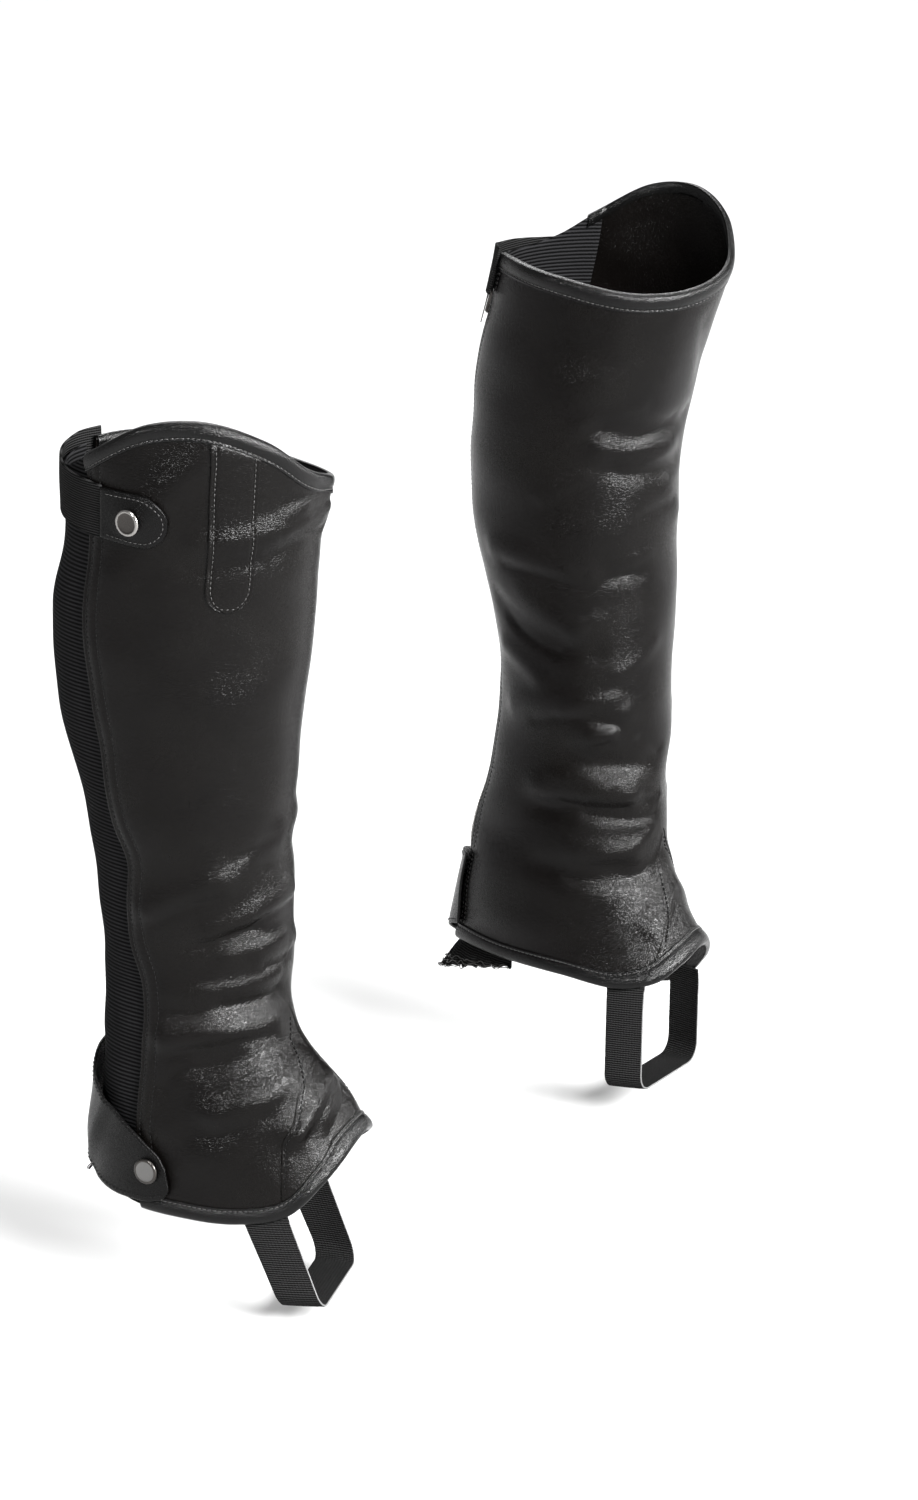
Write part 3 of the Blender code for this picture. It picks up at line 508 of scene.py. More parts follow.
# %% Leather grain
grain, grain_in, grain_out = new_group(
    "leather grain",
    [("Vector", "NodeSocketVector", None), ("Pores per metre", "NodeSocketFloat", 1300.0)],
    ["Height", "Clouds", "Specks"],
)
spot = grain_in.outputs["Vector"]
pores = node(grain, "ShaderNodeTexVoronoi", {"Vector": spot, "Scale": grain_in.outputs["Pores per metre"]})
pores.feature = "DISTANCE_TO_EDGE"
fine = noise(grain, spot, 620.0, 2.0)
pore_height = maths(grain, "MINIMUM", maths(grain, "MULTIPLY", pores.outputs["Distance"], 4.0), 1.0)
grain_height = maths(grain, "ADD", pore_height, maths(grain, "MULTIPLY", fine, 2.6))
grain.links.new(grain_height, grain_out.inputs["Height"])
grain.links.new(noise(grain, spot, 26.0, 4.0), grain_out.inputs["Clouds"])
grain.links.new(noise(grain, spot, 1500.0, 1.0), grain_out.inputs["Specks"])

# %% Ribs of elastic and webbing
ribs, ribs_in, ribs_out = new_group(
    "ribs",
    [
        ("UV", "NodeSocketVector", None), ("Pitch", "NodeSocketFloat", 0.0023),
        ("Cross pitch", "NodeSocketFloat", 0.0009),
    ],
    ["Height", "Painted shade"],
)
parts = node(ribs, "ShaderNodeSeparateXYZ", {"Vector": ribs_in.outputs["UV"]})
shift = maths(ribs, "MULTIPLY", noise(ribs, ribs_in.outputs["UV"], 60.0, 2.0), 0.9)


def wave(coordinate, pitch):
    """0.5 + 0.5 sin(2 pi coordinate / pitch + wobble)."""
    turns = maths(ribs, "MULTIPLY", maths(ribs, "DIVIDE", coordinate, pitch), 2 * math.pi)
    swing = maths(ribs, "SINE", maths(ribs, "ADD", turns, shift))
    return maths(ribs, "ADD", maths(ribs, "MULTIPLY", swing, 0.5), 0.5)


along_wave = wave(parts.outputs["Y"], ribs_in.outputs["Pitch"])
cross_wave = wave(parts.outputs["X"], ribs_in.outputs["Cross pitch"])
woven = maths(ribs, "ADD", along_wave, maths(ribs, "MULTIPLY", cross_wave, 0.35))
fuzz = maths(ribs, "MULTIPLY", noise(ribs, ribs_in.outputs["UV"], 2400.0, 1.0), 0.5)
ribs.links.new(maths(ribs, "ADD", woven, fuzz), ribs_out.inputs["Height"])
# The colour darkens between the ribs: painted shade in their grooves.
ribs.links.new(along_wave, ribs_out.inputs["Painted shade"])


# %% Leather, cloth and metal
GRAIN_DEPTH = 0.0001
RIB_DEPTH = 0.0004


def grey(value):
    """Colour with one value in all its channels."""
    return (value, value, value)


def start_material(name, colour, roughness, metallic=0.0, specular=0.5):
    """Material with a Principled shader and its plain values set."""
    made = bpy.data.materials.new(name)
    made.use_nodes = True
    shader = made.node_tree.nodes["Principled BSDF"]
    shader.inputs["Base Color"].default_value = (*colour, 1.0)
    shader.inputs["Roughness"].default_value = roughness
    shader.inputs["Metallic"].default_value = metallic
    shader.inputs["Specular IOR Level"].default_value = specular
    return made, made.node_tree, shader


def blend_colours(tree, mask, dark, light):
    """Colour between two colours by a mask."""
    ends = {"Factor": mask, "A": (*dark, 1.0), "B": (*light, 1.0)}
    return node(tree, "ShaderNodeMix", ends, data_type="RGBA").outputs["Result"]


def leather(name, dark, light, rough_low, rough_high, pores_per_metre, strength, specular=0.1):
    """Leather: colour and roughness from the clouds, and a bump from the pores."""
    made, tree, shader = start_material(name, light, rough_high, specular=specular)
    where = node(tree, "ShaderNodeTexCoord")
    skin_grain = node(tree, "ShaderNodeGroup", node_tree=grain)
    tree.links.new(where.outputs["Object"], skin_grain.inputs["Vector"])
    skin_grain.inputs["Pores per metre"].default_value = pores_per_metre
    clouds = skin_grain.outputs["Clouds"]
    tree.links.new(blend_colours(tree, clouds, dark, light), shader.inputs["Base Color"])
    patchy = node(tree, "ShaderNodeMapRange", {
        "Value": clouds, "From Min": 0.3, "From Max": 0.7, "To Min": rough_low, "To Max": rough_high,
    })
    specks = maths(tree, "MULTIPLY", maths(tree, "SUBTRACT", skin_grain.outputs["Specks"], 0.5), 0.22)
    tree.links.new(maths(tree, "ADD", patchy.outputs["Result"], specks), shader.inputs["Roughness"])
    bump = node(tree, "ShaderNodeBump", {
        "Strength": strength, "Distance": GRAIN_DEPTH, "Height": skin_grain.outputs["Height"],
    })
    tree.links.new(bump.outputs["Normal"], shader.inputs["Normal"])
    return made


def ribbed(name, dark, light, pitch, cross_pitch, strength):
    """Elastic or webbing: ribs from the UV, with painted shade between them."""
    made, tree, shader = start_material(name, light, 0.85, specular=0.02)
    where = node(tree, "ShaderNodeTexCoord")
    cloth_ribs = node(tree, "ShaderNodeGroup", node_tree=ribs)
    tree.links.new(where.outputs["UV"], cloth_ribs.inputs["UV"])
    cloth_ribs.inputs["Pitch"].default_value = pitch
    cloth_ribs.inputs["Cross pitch"].default_value = cross_pitch
    tree.links.new(blend_colours(tree, cloth_ribs.outputs["Painted shade"], dark, light), shader.inputs["Base Color"])
    bump = node(tree, "ShaderNodeBump", {
        "Strength": strength, "Distance": RIB_DEPTH, "Height": cloth_ribs.outputs["Height"],
    })
    tree.links.new(bump.outputs["Normal"], shader.inputs["Normal"])
    return made


def metal(name, colour, roughness):
    """Nickel plate with dull spots."""
    made, tree, shader = start_material(name, colour, roughness, 1.0)
    where = node(tree, "ShaderNodeTexCoord")
    dull = noise(tree, where.outputs["Object"], 900.0, 3.0)
    patchy = node(tree, "ShaderNodeMapRange", {
        "Value": dull, "To Min": roughness - 0.08, "To Max": roughness + 0.12,
    })
    tree.links.new(patchy.outputs["Result"], shader.inputs["Roughness"])
    worn = tuple(0.8 * channel for channel in colour)
    tree.links.new(blend_colours(tree, dull, worn, colour), shader.inputs["Base Color"])
    return made


black_leather = leather(
    "black leather", (0.0004, 0.0003, 0.0003), (0.0019, 0.0016, 0.0014), 0.18, 0.27, 1100.0, 0.7,
)
strap_leather = leather("strap leather", grey(0.0004), (0.0018, 0.0017, 0.0017), 0.22, 0.30, 1500.0, 0.6)
rolled_leather = leather("rolled binding leather", grey(0.0004), grey(0.0016), 0.14, 0.22, 1500.0, 0.6, 0.16)
back_elastic = ribbed("back elastic", grey(0.0002), (0.012, 0.012, 0.0126), 0.0023, 0.0008, 1.0)
strap_webbing = ribbed("strap webbing", grey(0.0005), grey(0.014), 0.0014, 0.0014, 1.0)
zip_tape = ribbed("zip tape", grey(0.002), grey(0.008), 0.0006, 0.0006, 0.5)
zip_teeth = metal("zip teeth", (0.34, 0.33, 0.32), 0.3)
dark_nickel = metal("dark nickel", (0.06, 0.056, 0.053), 0.28)
# Paler metal for the top stud's rim: a painted highlight on the rim.
stud_rim_highlight = metal("stud rim, painted highlight", (0.3, 0.29, 0.28), 0.22)
pale_nickel = metal("pale nickel", (0.15, 0.148, 0.145), 0.34)
thread = start_material("black thread", grey(0.002), 0.6, specular=0.1)[0]
# Paler thread: a painted sheen for stitches that catch the light. The frayed threads use it too.
sheen_painted_thread = start_material("paler thread with painted sheen", (0.009, 0.0085, 0.008), 0.42)[0]
highlight_cord = start_material("selvedge thread", grey(0.07), 0.6)[0]
print(len(bpy.data.materials), "materials")

# %% [markdown]
# ## Stitching
#
# A seam is a row of short threads that dip into the leather at both ends. Each stitch is one small tube of
# five rings, and all the stitches of a row are worked out together. A texture of dashes would be quicker,
# but real threads catch the light one by one, which is how dark stitches show on black leather.

# %% Rows of stitches
STITCH_PITCH = 3.0
STITCH_LENGTH = 2.3
THREAD_RADIUS = 0.3


def stitch_row(leg, angles, heights, out):
    """Points of the stitches along a line on the wall: (stitches, 5 rings, 6 sides, 3).

    ring = centre + radius * taper * (side cos(t) + normal sin(t)), centre rising as sin over the stitch.
    """
    run = length_along(wall(leg, angles, heights, out))
    starts = np.arange(0.5 * STITCH_PITCH, run[-1] - STITCH_PITCH, STITCH_PITCH)
    part = np.linspace(0.0, 1.0, 5)
    at = starts[:, None] + part * STITCH_LENGTH
    angle, height = np.interp(at, run, angles), np.interp(at, run, heights)
    base = np.interp(at, run, np.broadcast_to(out, run.shape))
    rise = -0.25 + 0.42 * np.sin(np.pi * part)
    centre = wall(leg, angle, height, base + rise)
    normal = unit(wall(leg, angle, height, base + 1.0) - wall(leg, angle, height, base))
    tangent = unit(np.gradient(centre, axis=1))
    side = unit(np.cross(normal, tangent))
    t = np.linspace(0.0, 2 * np.pi, 6, endpoint=False)
    taper = np.array([0.45, 0.95, 1.0, 0.95, 0.45])[:, None, None] * THREAD_RADIUS
    ring = side[:, :, None] * np.cos(t)[:, None] + normal[:, :, None] * np.sin(t)[:, None]
    return placed(leg, centre[:, :, None] + taper * ring)


def sew(name, rows, looks):
    """One piece from rows of stitches; each tube is five rings of six, closed by a quad pair at both ends."""
    tubes = np.concatenate([row for row in rows if len(row)])
    caps = np.array([[0, 1, 2, 3], [0, 3, 4, 5], [27, 26, 25, 24], [29, 28, 27, 24]])
    one = np.concatenate([ring_quads(5, 6), caps])
    print(name, len(tubes), "stitches")
    return new_piece(name, tubes.reshape(-1, 3), repeated(one, 30, len(tubes)), looks)


# %% [markdown]
# ## The main leather
#
# The panel runs from the elastic on the outer back round the front to the zip. Its columns crowd together
# along both long edges, where two rows of stitches pull the leather down a little.

# %% Grid of the main leather
OUTER_ROWS_AT = (2.4, 9.0)
INNER_ROWS_AT = (2.0, 6.2)
OUTER_BAND = np.array([0.0, 0.6, 1.5, 2.4, 3.3, 4.6, 6.5, 8.0, 9.0, 10.0, 11.6])
INNER_BAND = np.array([0.0, 0.6, 1.3, 2.0, 2.7, 4.0, 5.3, 6.2, 7.1, 8.6])
FRONT_COLUMNS = 104
HEM_ROWS, MIDDLE_ROWS, TOP_ROWS = (0.0, 0.0015, 0.004, 0.0075, 0.012), 176, (0.992, 0.997, 1.0)
FAR = 99.0  # a distance at which no stitch row dips the leather


def edge_angles(leg, share):
    """Angles of the leather's outer and inner back edges at a share of the way up."""
    return smooth(share, leg["edges"], 1), smooth(share, leg["edges"], 2)


def height_at(leg, angle, share):
    """Height at a share of the way from the hem to the top."""
    low = hem_height(angle)
    return low + share * (top_height(leg, angle) - low)


def edge_line(leg, share, distance, outer=True):
    """Angles and heights of a line that keeps a distance from a back edge of the leather."""
    angle = edge_angles(leg, share)[0 if outer else 1]
    angle = turn_for(leg, angle, height_at(leg, angle, share), -distance if outer else distance)
    return angle, height_at(leg, angle, share)


def gusset_top(angle):
    """Height of the gusset's seam, or of the hem where the gusset has ended."""
    inside = (angle > GUSSET_SEAM[0][0]) & (angle < GUSSET_SEAM[-1][0])
    return np.where(inside, smooth(angle, GUSSET_SEAM, 1), hem_height(angle))


def dips(distance, rows_at, depth=0.38):
    """Dip of the leather at each stitch row: -depth * exp(-(distance / 0.9)^2)."""
    return -sum(depth * np.exp(-(((distance - at) / 0.9) ** 2)) for at in rows_at)


def main_leather_grid(leg):
    """Angles, heights and dips of the panel, row by row from the hem up.

    height = hem + share * span + seam_rise * (1 - share)^fade, so the seam bends only the rows near it.
    """
    middle_rows = np.linspace(0.018, 0.985, MIDDLE_ROWS)
    share = np.concatenate([HEM_ROWS, middle_rows, TOP_ROWS])[:, None]
    outer, inner = edge_angles(leg, share)
    outer_step = outer - turn_for(leg, outer, height_at(leg, outer, share), -1.0)
    inner_step = turn_for(leg, inner, height_at(leg, inner, share), 1.0) - inner
    left = outer - outer_step * OUTER_BAND
    right = inner + inner_step * INNER_BAND
    t = np.linspace(0.0, 1.0, FRONT_COLUMNS)[1:-1]
    middle = left[:, -1:] + (right[:, -1:] - left[:, -1:]) * t
    angles = np.concatenate([left, middle, right[:, ::-1]], axis=1)
    low = hem_height(angles)
    seam_rise = np.maximum(gusset_top(angles) - low, 0.0)
    span = top_height(leg, angles) - low
    fade = np.clip(0.85 * span / np.maximum(seam_rise, 5.0), 2.0, 10.0)
    heights = low + share * span + seam_rise * (1 - share) ** fade
    from_outer = np.concatenate([OUTER_BAND, np.full(angles.shape[1] - len(OUTER_BAND), FAR)])
    from_inner = np.concatenate([np.full(angles.shape[1] - len(INNER_BAND), FAR), INNER_BAND[::-1]])
    dip = dips(from_outer, OUTER_ROWS_AT) + dips(from_inner, INNER_ROWS_AT)
    puff = 0.25 * np.exp(-(((from_outer - 5.7) / 2.2) ** 2))
    return angles, heights, np.broadcast_to(dip + puff, angles.shape)


# %% Make the main leather
pieces = {}
for side, leg in legs.items():
    angles, heights, dip = main_leather_grid(leg)
    outer = wall(leg, angles, heights, LEATHER + dip)
    inner = wall(leg, angles, heights, np.zeros(angles.shape))
    piece = cloth_piece(f"{side}_main_leather", leg, angles, heights, outer, inner, black_leather)
    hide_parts(f"{side}_leather_panel")
    pieces[side, "main"] = piece, cut_of(outer)
    print(piece.name, len(piece.data.polygons), "quads, cut", cut_of(outer))

# %% [markdown]
# ## The instep gusset
#
# Over the instep a pointed piece is let in, so that the hem can spread over the boot. It uses the same
# skin, from the hem up to the seam, and lies a little lower than the leather beside it, which is turned
# under along the seam.

# %% Make the gusset
SEAM_END = 69.3  # angle past which the gusset is all tucked under the leather


def gusset_grid(leg):
    """Angles and heights from the hem to the seam, and on under the leather as the seam's allowance."""
    columns = np.concatenate([
        np.linspace(-44.5, -2.0, 34), np.linspace(-1.0, 2.0, 7), np.linspace(3.0, SEAM_END, 52),
        [69.9, 71.0, 73.0],
    ])
    low = hem_height(columns)
    seam = smooth(columns, GUSSET_SEAM, 1)
    arc = np.linalg.norm(skin(leg, columns + 0.5, seam) - skin(leg, columns - 0.5, seam), axis=-1)
    slope = (smooth(columns + 0.2, GUSSET_SEAM, 1) - smooth(columns - 0.2, GUSSET_SEAM, 1)) / (0.4 * arc)
    seam = np.maximum(seam - SEAM_GAP * np.sqrt(1 + slope**2), low + 0.8)
    share = close_to_edges(40, 0.008)[:, None]
    heights = low + share * (seam - low)
    lap = seam + np.array([0.3, 1.2, 4.0])[:, None] * np.minimum(np.sqrt(1 + slope**2), 3.0)
    heights = np.concatenate([heights, lap])
    return np.broadcast_to(columns, heights.shape), heights, seam, slope


for side, leg in legs.items():
    angles, heights, seam, slope = gusset_grid(leg)
    from_seam = (seam - heights) / np.sqrt(1 + slope**2)
    sunk = -0.5 * np.exp(-np.maximum(from_seam, 0.0) / 1.2) + dips(from_seam, (2.0,), 0.25)
    tucked = np.clip(np.maximum(-from_seam / 0.3, (angles - SEAM_END) / 0.5), 0.0, 1.0) * (LEATHER + 0.5)
    outer = wall(leg, angles, heights, LEATHER + sunk - tucked)
    inner = wall(leg, angles, heights, -tucked * 0.8)
    piece = cloth_piece(f"{side}_instep_leather", leg, angles, heights, outer, inner, black_leather)
    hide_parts(f"{side}_instep_gusset")
    pieces[side, "gusset"] = piece, cut_of(outer, 0)
    print(piece.name, "cut", cut_of(outer, 0))

# %% [markdown]
# ## The elastic back
#
# The stretch panel closes the back of the leg. Its ribs run across it, 2.3 mm apart. They are too fine to
# be worth modelling, so the material makes them from the panel's UV, whose units are metres of cloth.

# %% Make the elastic panel
def elastic_grid(leg):
    """Angles and heights of the elastic, from the zip to its lap under the leather."""
    share = np.linspace(0.0, 1.0, 120)[:, None]
    outer, inner = edge_angles(leg, share)
    lap = turn_for(leg, smooth(share, LEFT_EDGES, 1), height_at(leg, outer, share), -ELASTIC_LAP)
    level = height_at(leg, inner, share)
    zip_side = turn_for(leg, inner, level, -ZIP_OPENING) + 360.0
    zip_lap = turn_for(leg, inner, level, -ZIP_OPENING - ZIP_LAP) + 360.0
    t = np.linspace(0.0, 1.0, 34)
    angles = np.concatenate([zip_side, zip_lap + (lap - zip_lap) * t], axis=1)
    return angles, height_at(leg, angles, share)


for side, leg in legs.items():
    angles, heights = elastic_grid(leg)
    outer = wall(leg, angles, heights, np.full(angles.shape, -SEAM_GAP - 0.2))
    inner = wall(leg, angles, heights, np.full(angles.shape, -SEAM_GAP - ELASTIC))
    piece = cloth_piece(f"{side}_back_elastic", leg, angles, heights, outer, inner, back_elastic)
    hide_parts(f"{side}_elastic_panel")
    pieces[side, "elastic"] = piece, cut_of(outer)
    print(piece.name, "cut", cut_of(outer))

# %% [markdown]
# ## The zip
#
# Two woven tapes are sewn under the leather and the elastic, and the teeth lock between them. The tapes
# are one closed strip here. A tooth is a small block with a rounded head, and the teeth of the two sides
# take turns up the zip.

# %% Tapes
def zip_profile():
    """Across the zip: distance from the leather's edge, inner face, outer face."""
    under_leather, under_elastic = -SEAM_GAP, -SEAM_GAP - ELASTIC - SEAM_GAP
    middle = -ZIP_OPENING / 2
    return np.array([
        (ZIP_LAP, under_leather - 1.2, under_leather), (0.0, under_leather - 1.2, under_leather),
        (-1.4, -1.8, -0.7), (middle + 0.6, -2.0, -0.9), (middle, -2.2, -1.4), (middle - 0.6, -2.4, -1.1),
        (-ZIP_OPENING + 1.0, -3.0, -1.8), (-ZIP_OPENING, under_elastic - 1.2, under_elastic),
        (-ZIP_OPENING - ZIP_LAP, under_elastic - 1.2, under_elastic),
    ])


def zip_line(leg, share, distance):
    """Angles and heights of a line at a distance behind the leather's inner edge."""
    inner = edge_angles(leg, share)[1]
    angle = turn_for(leg, inner, height_at(leg, inner, share), distance)
    return angle, height_at(leg, angle, share)


for side, leg in legs.items():
    share = np.linspace(*ZIP_SPAN, 150)[:, None]
    profile = zip_profile()
    angles, heights = zip_line(leg, share, profile[:, 0])
    outer = wall(leg, angles, heights, np.broadcast_to(profile[:, 2], angles.shape))
    inner = wall(leg, angles, heights, np.broadcast_to(profile[:, 1], angles.shape))
    piece = cloth_piece(f"{side}_zip_tapes", leg, angles, heights, outer, inner, zip_tape)
    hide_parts(f"{side}_zip")
    pieces[side, "zip"] = piece, cut_of(outer)

# %% Teeth
TOOTH_PITCH = 2.2
TOOTH = np.array([(-0.4, -0.45), (2.2, -0.42), (2.9, -0.2), (2.9, 0.2), (2.2, 0.42), (-0.4, 0.45)])
TOOTH_MIDDLE, TOOTH_REACH = (1.2, 0.0), (0.2, 0.0)
TOOTH_HEIGHTS = (-0.9, 0.75, 1.1)
TOOTH_SIZES = (1.0, 1.0, 0.7)


def zip_teeth_points(leg):
    """Teeth of both sides: (teeth, 3 levels x 6 points, 3), each level a scaled copy of the outline."""
    guide = np.linspace(*ZIP_SPAN, 400)
    run = length_along(wall(leg, *zip_line(leg, guide, -ZIP_OPENING / 2), np.zeros(len(guide))))
    count = int(run[-1] / TOOTH_PITCH * 2)
    at = np.interp((np.arange(count) + 0.5) * TOOTH_PITCH / 2, run, guide)
    angle, height = zip_line(leg, at, -ZIP_OPENING / 2)
    centre = wall(leg, angle, height, np.zeros(count))
    normal = unit(wall(leg, angle, height, np.ones(count)) - centre)
    up = unit(np.gradient(centre, axis=0))
    side_way = unit(np.cross(up, normal)) * np.where(np.arange(count) % 2, 1.0, -1.0)[:, None]
    levels = []
    for rise, size in zip(TOOTH_HEIGHTS, TOOTH_SIZES):
        flat = (TOOTH - TOOTH_MIDDLE) * size + TOOTH_REACH
        level = side_way[:, None] * flat[:, :1] + up[:, None] * flat[:, 1:] + normal[:, None] * rise
        levels.append(centre[:, None] + level)
    return placed(leg, np.concatenate(levels, axis=1))


for side, leg in legs.items():
    teeth = zip_teeth_points(leg)
    one = np.concatenate([ring_quads(3, 6), [[12, 13, 14, 15], [12, 15, 16, 17], [3, 2, 1, 0], [5, 4, 3, 0]]])
    quads = repeated(one, 18, len(teeth))
    piece = new_piece(f"{side}_zip_teeth", teeth.reshape(-1, 3), quads, zip_teeth, sharp=35)
    print(piece.name, len(teeth), "teeth")

# %% [markdown]
# ## Pieces that are built flat and laid on the wall
#
# The slider and the press studs are hard. They are made round their own axes and then laid on the wall by
# one matrix, which is applied to the mesh so that the finished object stays at the origin.

# %% Matrix of a place on the wall
def frame_on(leg, angle, height, out):
    """X round the leg, Y up it, Z outward."""
    centre = placed(leg, wall(leg, angle, height, out))
    beyond = placed(leg, wall(leg, angle, height, np.asarray(out) + 1.0))
    above = placed(leg, wall(leg, angle, height + 1.0, out))
    normal = Vector(beyond - centre).normalized()
    up = Vector(above - centre)
    up = (up - normal * up.dot(normal)).normalized()
    axes = Matrix((up.cross(normal), up, normal)).transposed().to_4x4()
    return Matrix.Translation(Vector(centre)) @ axes


def lay_on_wall(piece, place):
    """Moves a piece's mesh to its place and turns its faces outward."""
    piece.data.transform(place)
    turn_outward(piece.data, merge=2e-6)


# %% Press studs
STUD = np.array([
    (0.0, 0.80), (0.3, 0.81), (0.62, 0.85), (0.72, 0.88), (0.78, 0.97), (0.86, 1.0), (0.94, 0.93),
    (1.0, 0.68), (0.99, 0.38), (0.93, 0.12), (0.86, 0.0), (0.0, 0.0),
])
STUD_STEPS = 48
FACE_RINGS = 4


def stud(name, leg, angle, height, out, looks, rim_looks):
    """Cap of a press stud: its profile (share of the radius, share of the height) turned once round.

    The rings of faces past the first four are the rim.
    """
    t = np.linspace(0.0, 2 * np.pi, STUD_STEPS, endpoint=False)
    radius, rise = STUD[:, :1] * SNAP_RADIUS * MM, STUD[:, 1:] * SNAP_HEIGHT * MM
    points = np.stack(np.broadcast_arrays(radius * np.cos(t), radius * np.sin(t), rise), axis=-1)
    made = new_piece(name, points.reshape(-1, 3), ring_quads(len(STUD), STUD_STEPS), looks)
    made.data.materials.append(rim_looks)
    is_rim = (np.arange(len(STUD) - 1) >= FACE_RINGS).astype(np.int32)
    made.data.polygons.foreach_set("material_index", np.repeat(is_rim, STUD_STEPS))
    lay_on_wall(made, frame_on(leg, angle, height, out))
    return made


strap_face = TOP_STRAP[-1][2] + STRAP_END_THICKNESS + SEAM_GAP
tab_face = TAB_LIFT + LEATHER + SEAM_GAP
for side, leg in legs.items():
    level = leg["front_top"] + TOP_SNAP[1]
    # The top stud's rim is a paler metal than its face, a painted highlight; the heel stud's rim is the darker
    # nickel.
    top_stud = stud(f"{side}_top_stud", leg, TOP_SNAP[0], level, strap_face, dark_nickel, stud_rim_highlight)
    heel_stud = stud(f"{side}_heel_stud", leg, *ANKLE_SNAP, tab_face, pale_nickel, dark_nickel)
    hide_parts(f"{side}_top_snap")
    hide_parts(f"{side}_ankle_snap")

# %% Zip slider with its pull
SLIDER_SIDE = np.array([
    (-7.0, 0.0), (6.0, 0.0), (7.0, 0.5), (7.0, 1.4), (4.0, 2.2), (-6.0, 2.2), (-6.6, 1.4), (-7.0, 1.4),
])
PULL_SIDE = np.array([
    (3.0, 2.3), (4.2, 2.9), (3.6, 3.3), (2.2, 3.2), (-14.0, 3.0), (-14.6, 2.7), (-14.0, 2.4), (1.0, 2.4),
])


def bar(profile, half_width):
    """Closed bar: a side view (along, out) carried across its width, and slimmer at both ends."""
    across = np.array([-1.0, -0.86, 0.86, 1.0]) * half_width
    slim = np.array([0.88, 1.0, 1.0, 0.88])
    middle = profile.mean(axis=0)
    rings = middle + (profile - middle) * slim[:, None, None]
    points = np.stack(np.broadcast_arrays(across[:, None], rings[..., 0], rings[..., 1]), axis=-1)
    count = len(profile)
    ends = np.array([[0, 1, 2, 3], [0, 3, 4, 7], [4, 5, 6, 7]])
    return points.reshape(-1, 3) * MM, np.concatenate([ring_quads(4, count), ends, ends[:, ::-1] + 3 * count])


for side, leg in legs.items():
    body_points, body_quads = bar(SLIDER_SIDE, 4.0)
    pull_points, pull_quads = bar(PULL_SIDE, 2.6)
    points = np.concatenate([body_points, pull_points])
    quads = np.concatenate([body_quads, pull_quads + len(body_points)])
    slider = new_piece(f"{side}_zip_runner", points, quads, dark_nickel, sharp=40)
    angle, height = zip_line(leg, RUNNER_AT, -ZIP_OPENING / 2)
    lay_on_wall(slider, frame_on(leg, float(angle), float(height), 1.6))
    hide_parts(f"{side}_zip_slider")

# %% [markdown]
# ## Rolled bindings
#
# The top edge and the hem are bound with a strip of thinner leather that is folded round the edge and
# sewn through. The fold stays round and shiny and the sewn side lies flat. The strip's section is a closed
# outline that is carried along the edge.

# %% Section of a binding
BINDING_SECTION = np.array([
    (-1.0, 0.25, 0), (-1.0, 0.75, 0), (-0.95, 1.05, 0), (-0.88, 1.02, 0), (-0.82, 0.7, 0), (-0.76, 1.05, 0),
    (-0.66, 1.5, 0), (-0.5, 1.85, 0), (-0.33, 2.0, 0), (-0.17, 1.85, 0), (-0.03, 1.35, 0), (0.06, 0.6, 0),
    (0.11, -0.5, 0), (0.1, -1.4, 0), (0.04, -0.55, 1), (-0.1, -1.25, 1), (-0.3, -1.35, 1), (-0.5, -1.3, 1),
    (-0.6, -1.25, 1), (-0.62, -0.6, 1), (-0.6, -0.3, 1), (-0.3, -0.3, 1), (-0.03, -0.3, 1), (-0.03, 0.25, 0),
    (-0.5, 0.25, 0),
])


def binding_points(leg, angles, edge, depth, under):
    """Rings of a binding: height = edge + share * depth, distance out from either face of the leather."""
    share, out, inside = BINDING_SECTION.T
    heights = edge[:, None] + share * depth
    lift = np.where(inside > 0, out - under[:, None], out + LEATHER)
    middle = (share > 0.055) & (inside == 0)
    lift = np.where(middle & (out < 0), out - under[:, None] * 0.5 + LEATHER * 0.3, lift)
    return wall(leg, np.broadcast_to(angles[:, None], heights.shape), heights, lift)


def carried(name, leg, rings, looks):
    """Closed bar through rings of points, with its ends shut by one face each."""
    count, around = rings.shape[:2]
    ring = np.arange(around)
    faces = ring_quads(count, around).tolist() + [ring[::-1].tolist(), ((count - 1) * around + ring).tolist()]
    return new_piece(name, placed(leg, rings).reshape(-1, 3), faces, looks, sharp=70)


def round_rings(line, first, second, radius, sides):
    """Rings of a thread along a line: line + radius * (first cos(t) + second sin(t))."""
    t = np.linspace(0.0, 2 * np.pi, sides, endpoint=False)[:, None]
    return line[:, None] + radius * (first[:, None] * np.cos(t) + second[:, None] * np.sin(t))


# %% Make the bindings
def binding_run(leg, share):
    """Angles along a bound edge, close together, and how much thicker the edge is over the elastic's lap."""
    outer, inner = edge_angles(leg, share)
    angles = np.linspace(outer, inner, 260)
    lap = turn_for(leg, outer, height_at(leg, outer, share), -ELASTIC_LAP)
    under = (ELASTIC + SEAM_GAP) * np.clip((angles - lap + 1.5) / 1.5, 0.0, 1.0)
    return angles, under


for side, leg in legs.items():
    for label, share, depth in (("top", 1.0, TOP_BINDING_DEPTH), ("hem", 0.0, -HEM_BINDING_DEPTH)):
        angles, under = binding_run(leg, share)
        edge = top_height(leg, angles) if share else hem_height(angles)
        rings = binding_points(leg, angles, edge, depth, under)
        piece = carried(f"{side}_{label}_roll", leg, rings, rolled_leather)
        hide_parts(f"{side}_{label}_binding")
        print(piece.name, len(piece.data.polygons), "faces")

# %% [markdown]
# ## Straps, tab and patch
#
# These lie on the wall, so each is a small grid between a lower and an upper edge, moved out by the layers
# under it. The strap ends and the tab have rounded ends, which the half height shapes.

# %% Strips on the wall
def strip_grid(angles, low, high, rows=14):
    """Heights between two edges, closer together near them."""
    share = close_to_edges(rows, 0.03)[:, None]
    return np.broadcast_to(angles, (len(share), len(angles))), low + share * (high - low)


def round_start(steps):
    """Shares from 0 to 1 for a round end, closer together at 0: 1 - cos(t) over a quarter turn."""
    return 1 - np.cos(np.linspace(0.0, 0.5 * np.pi, steps))


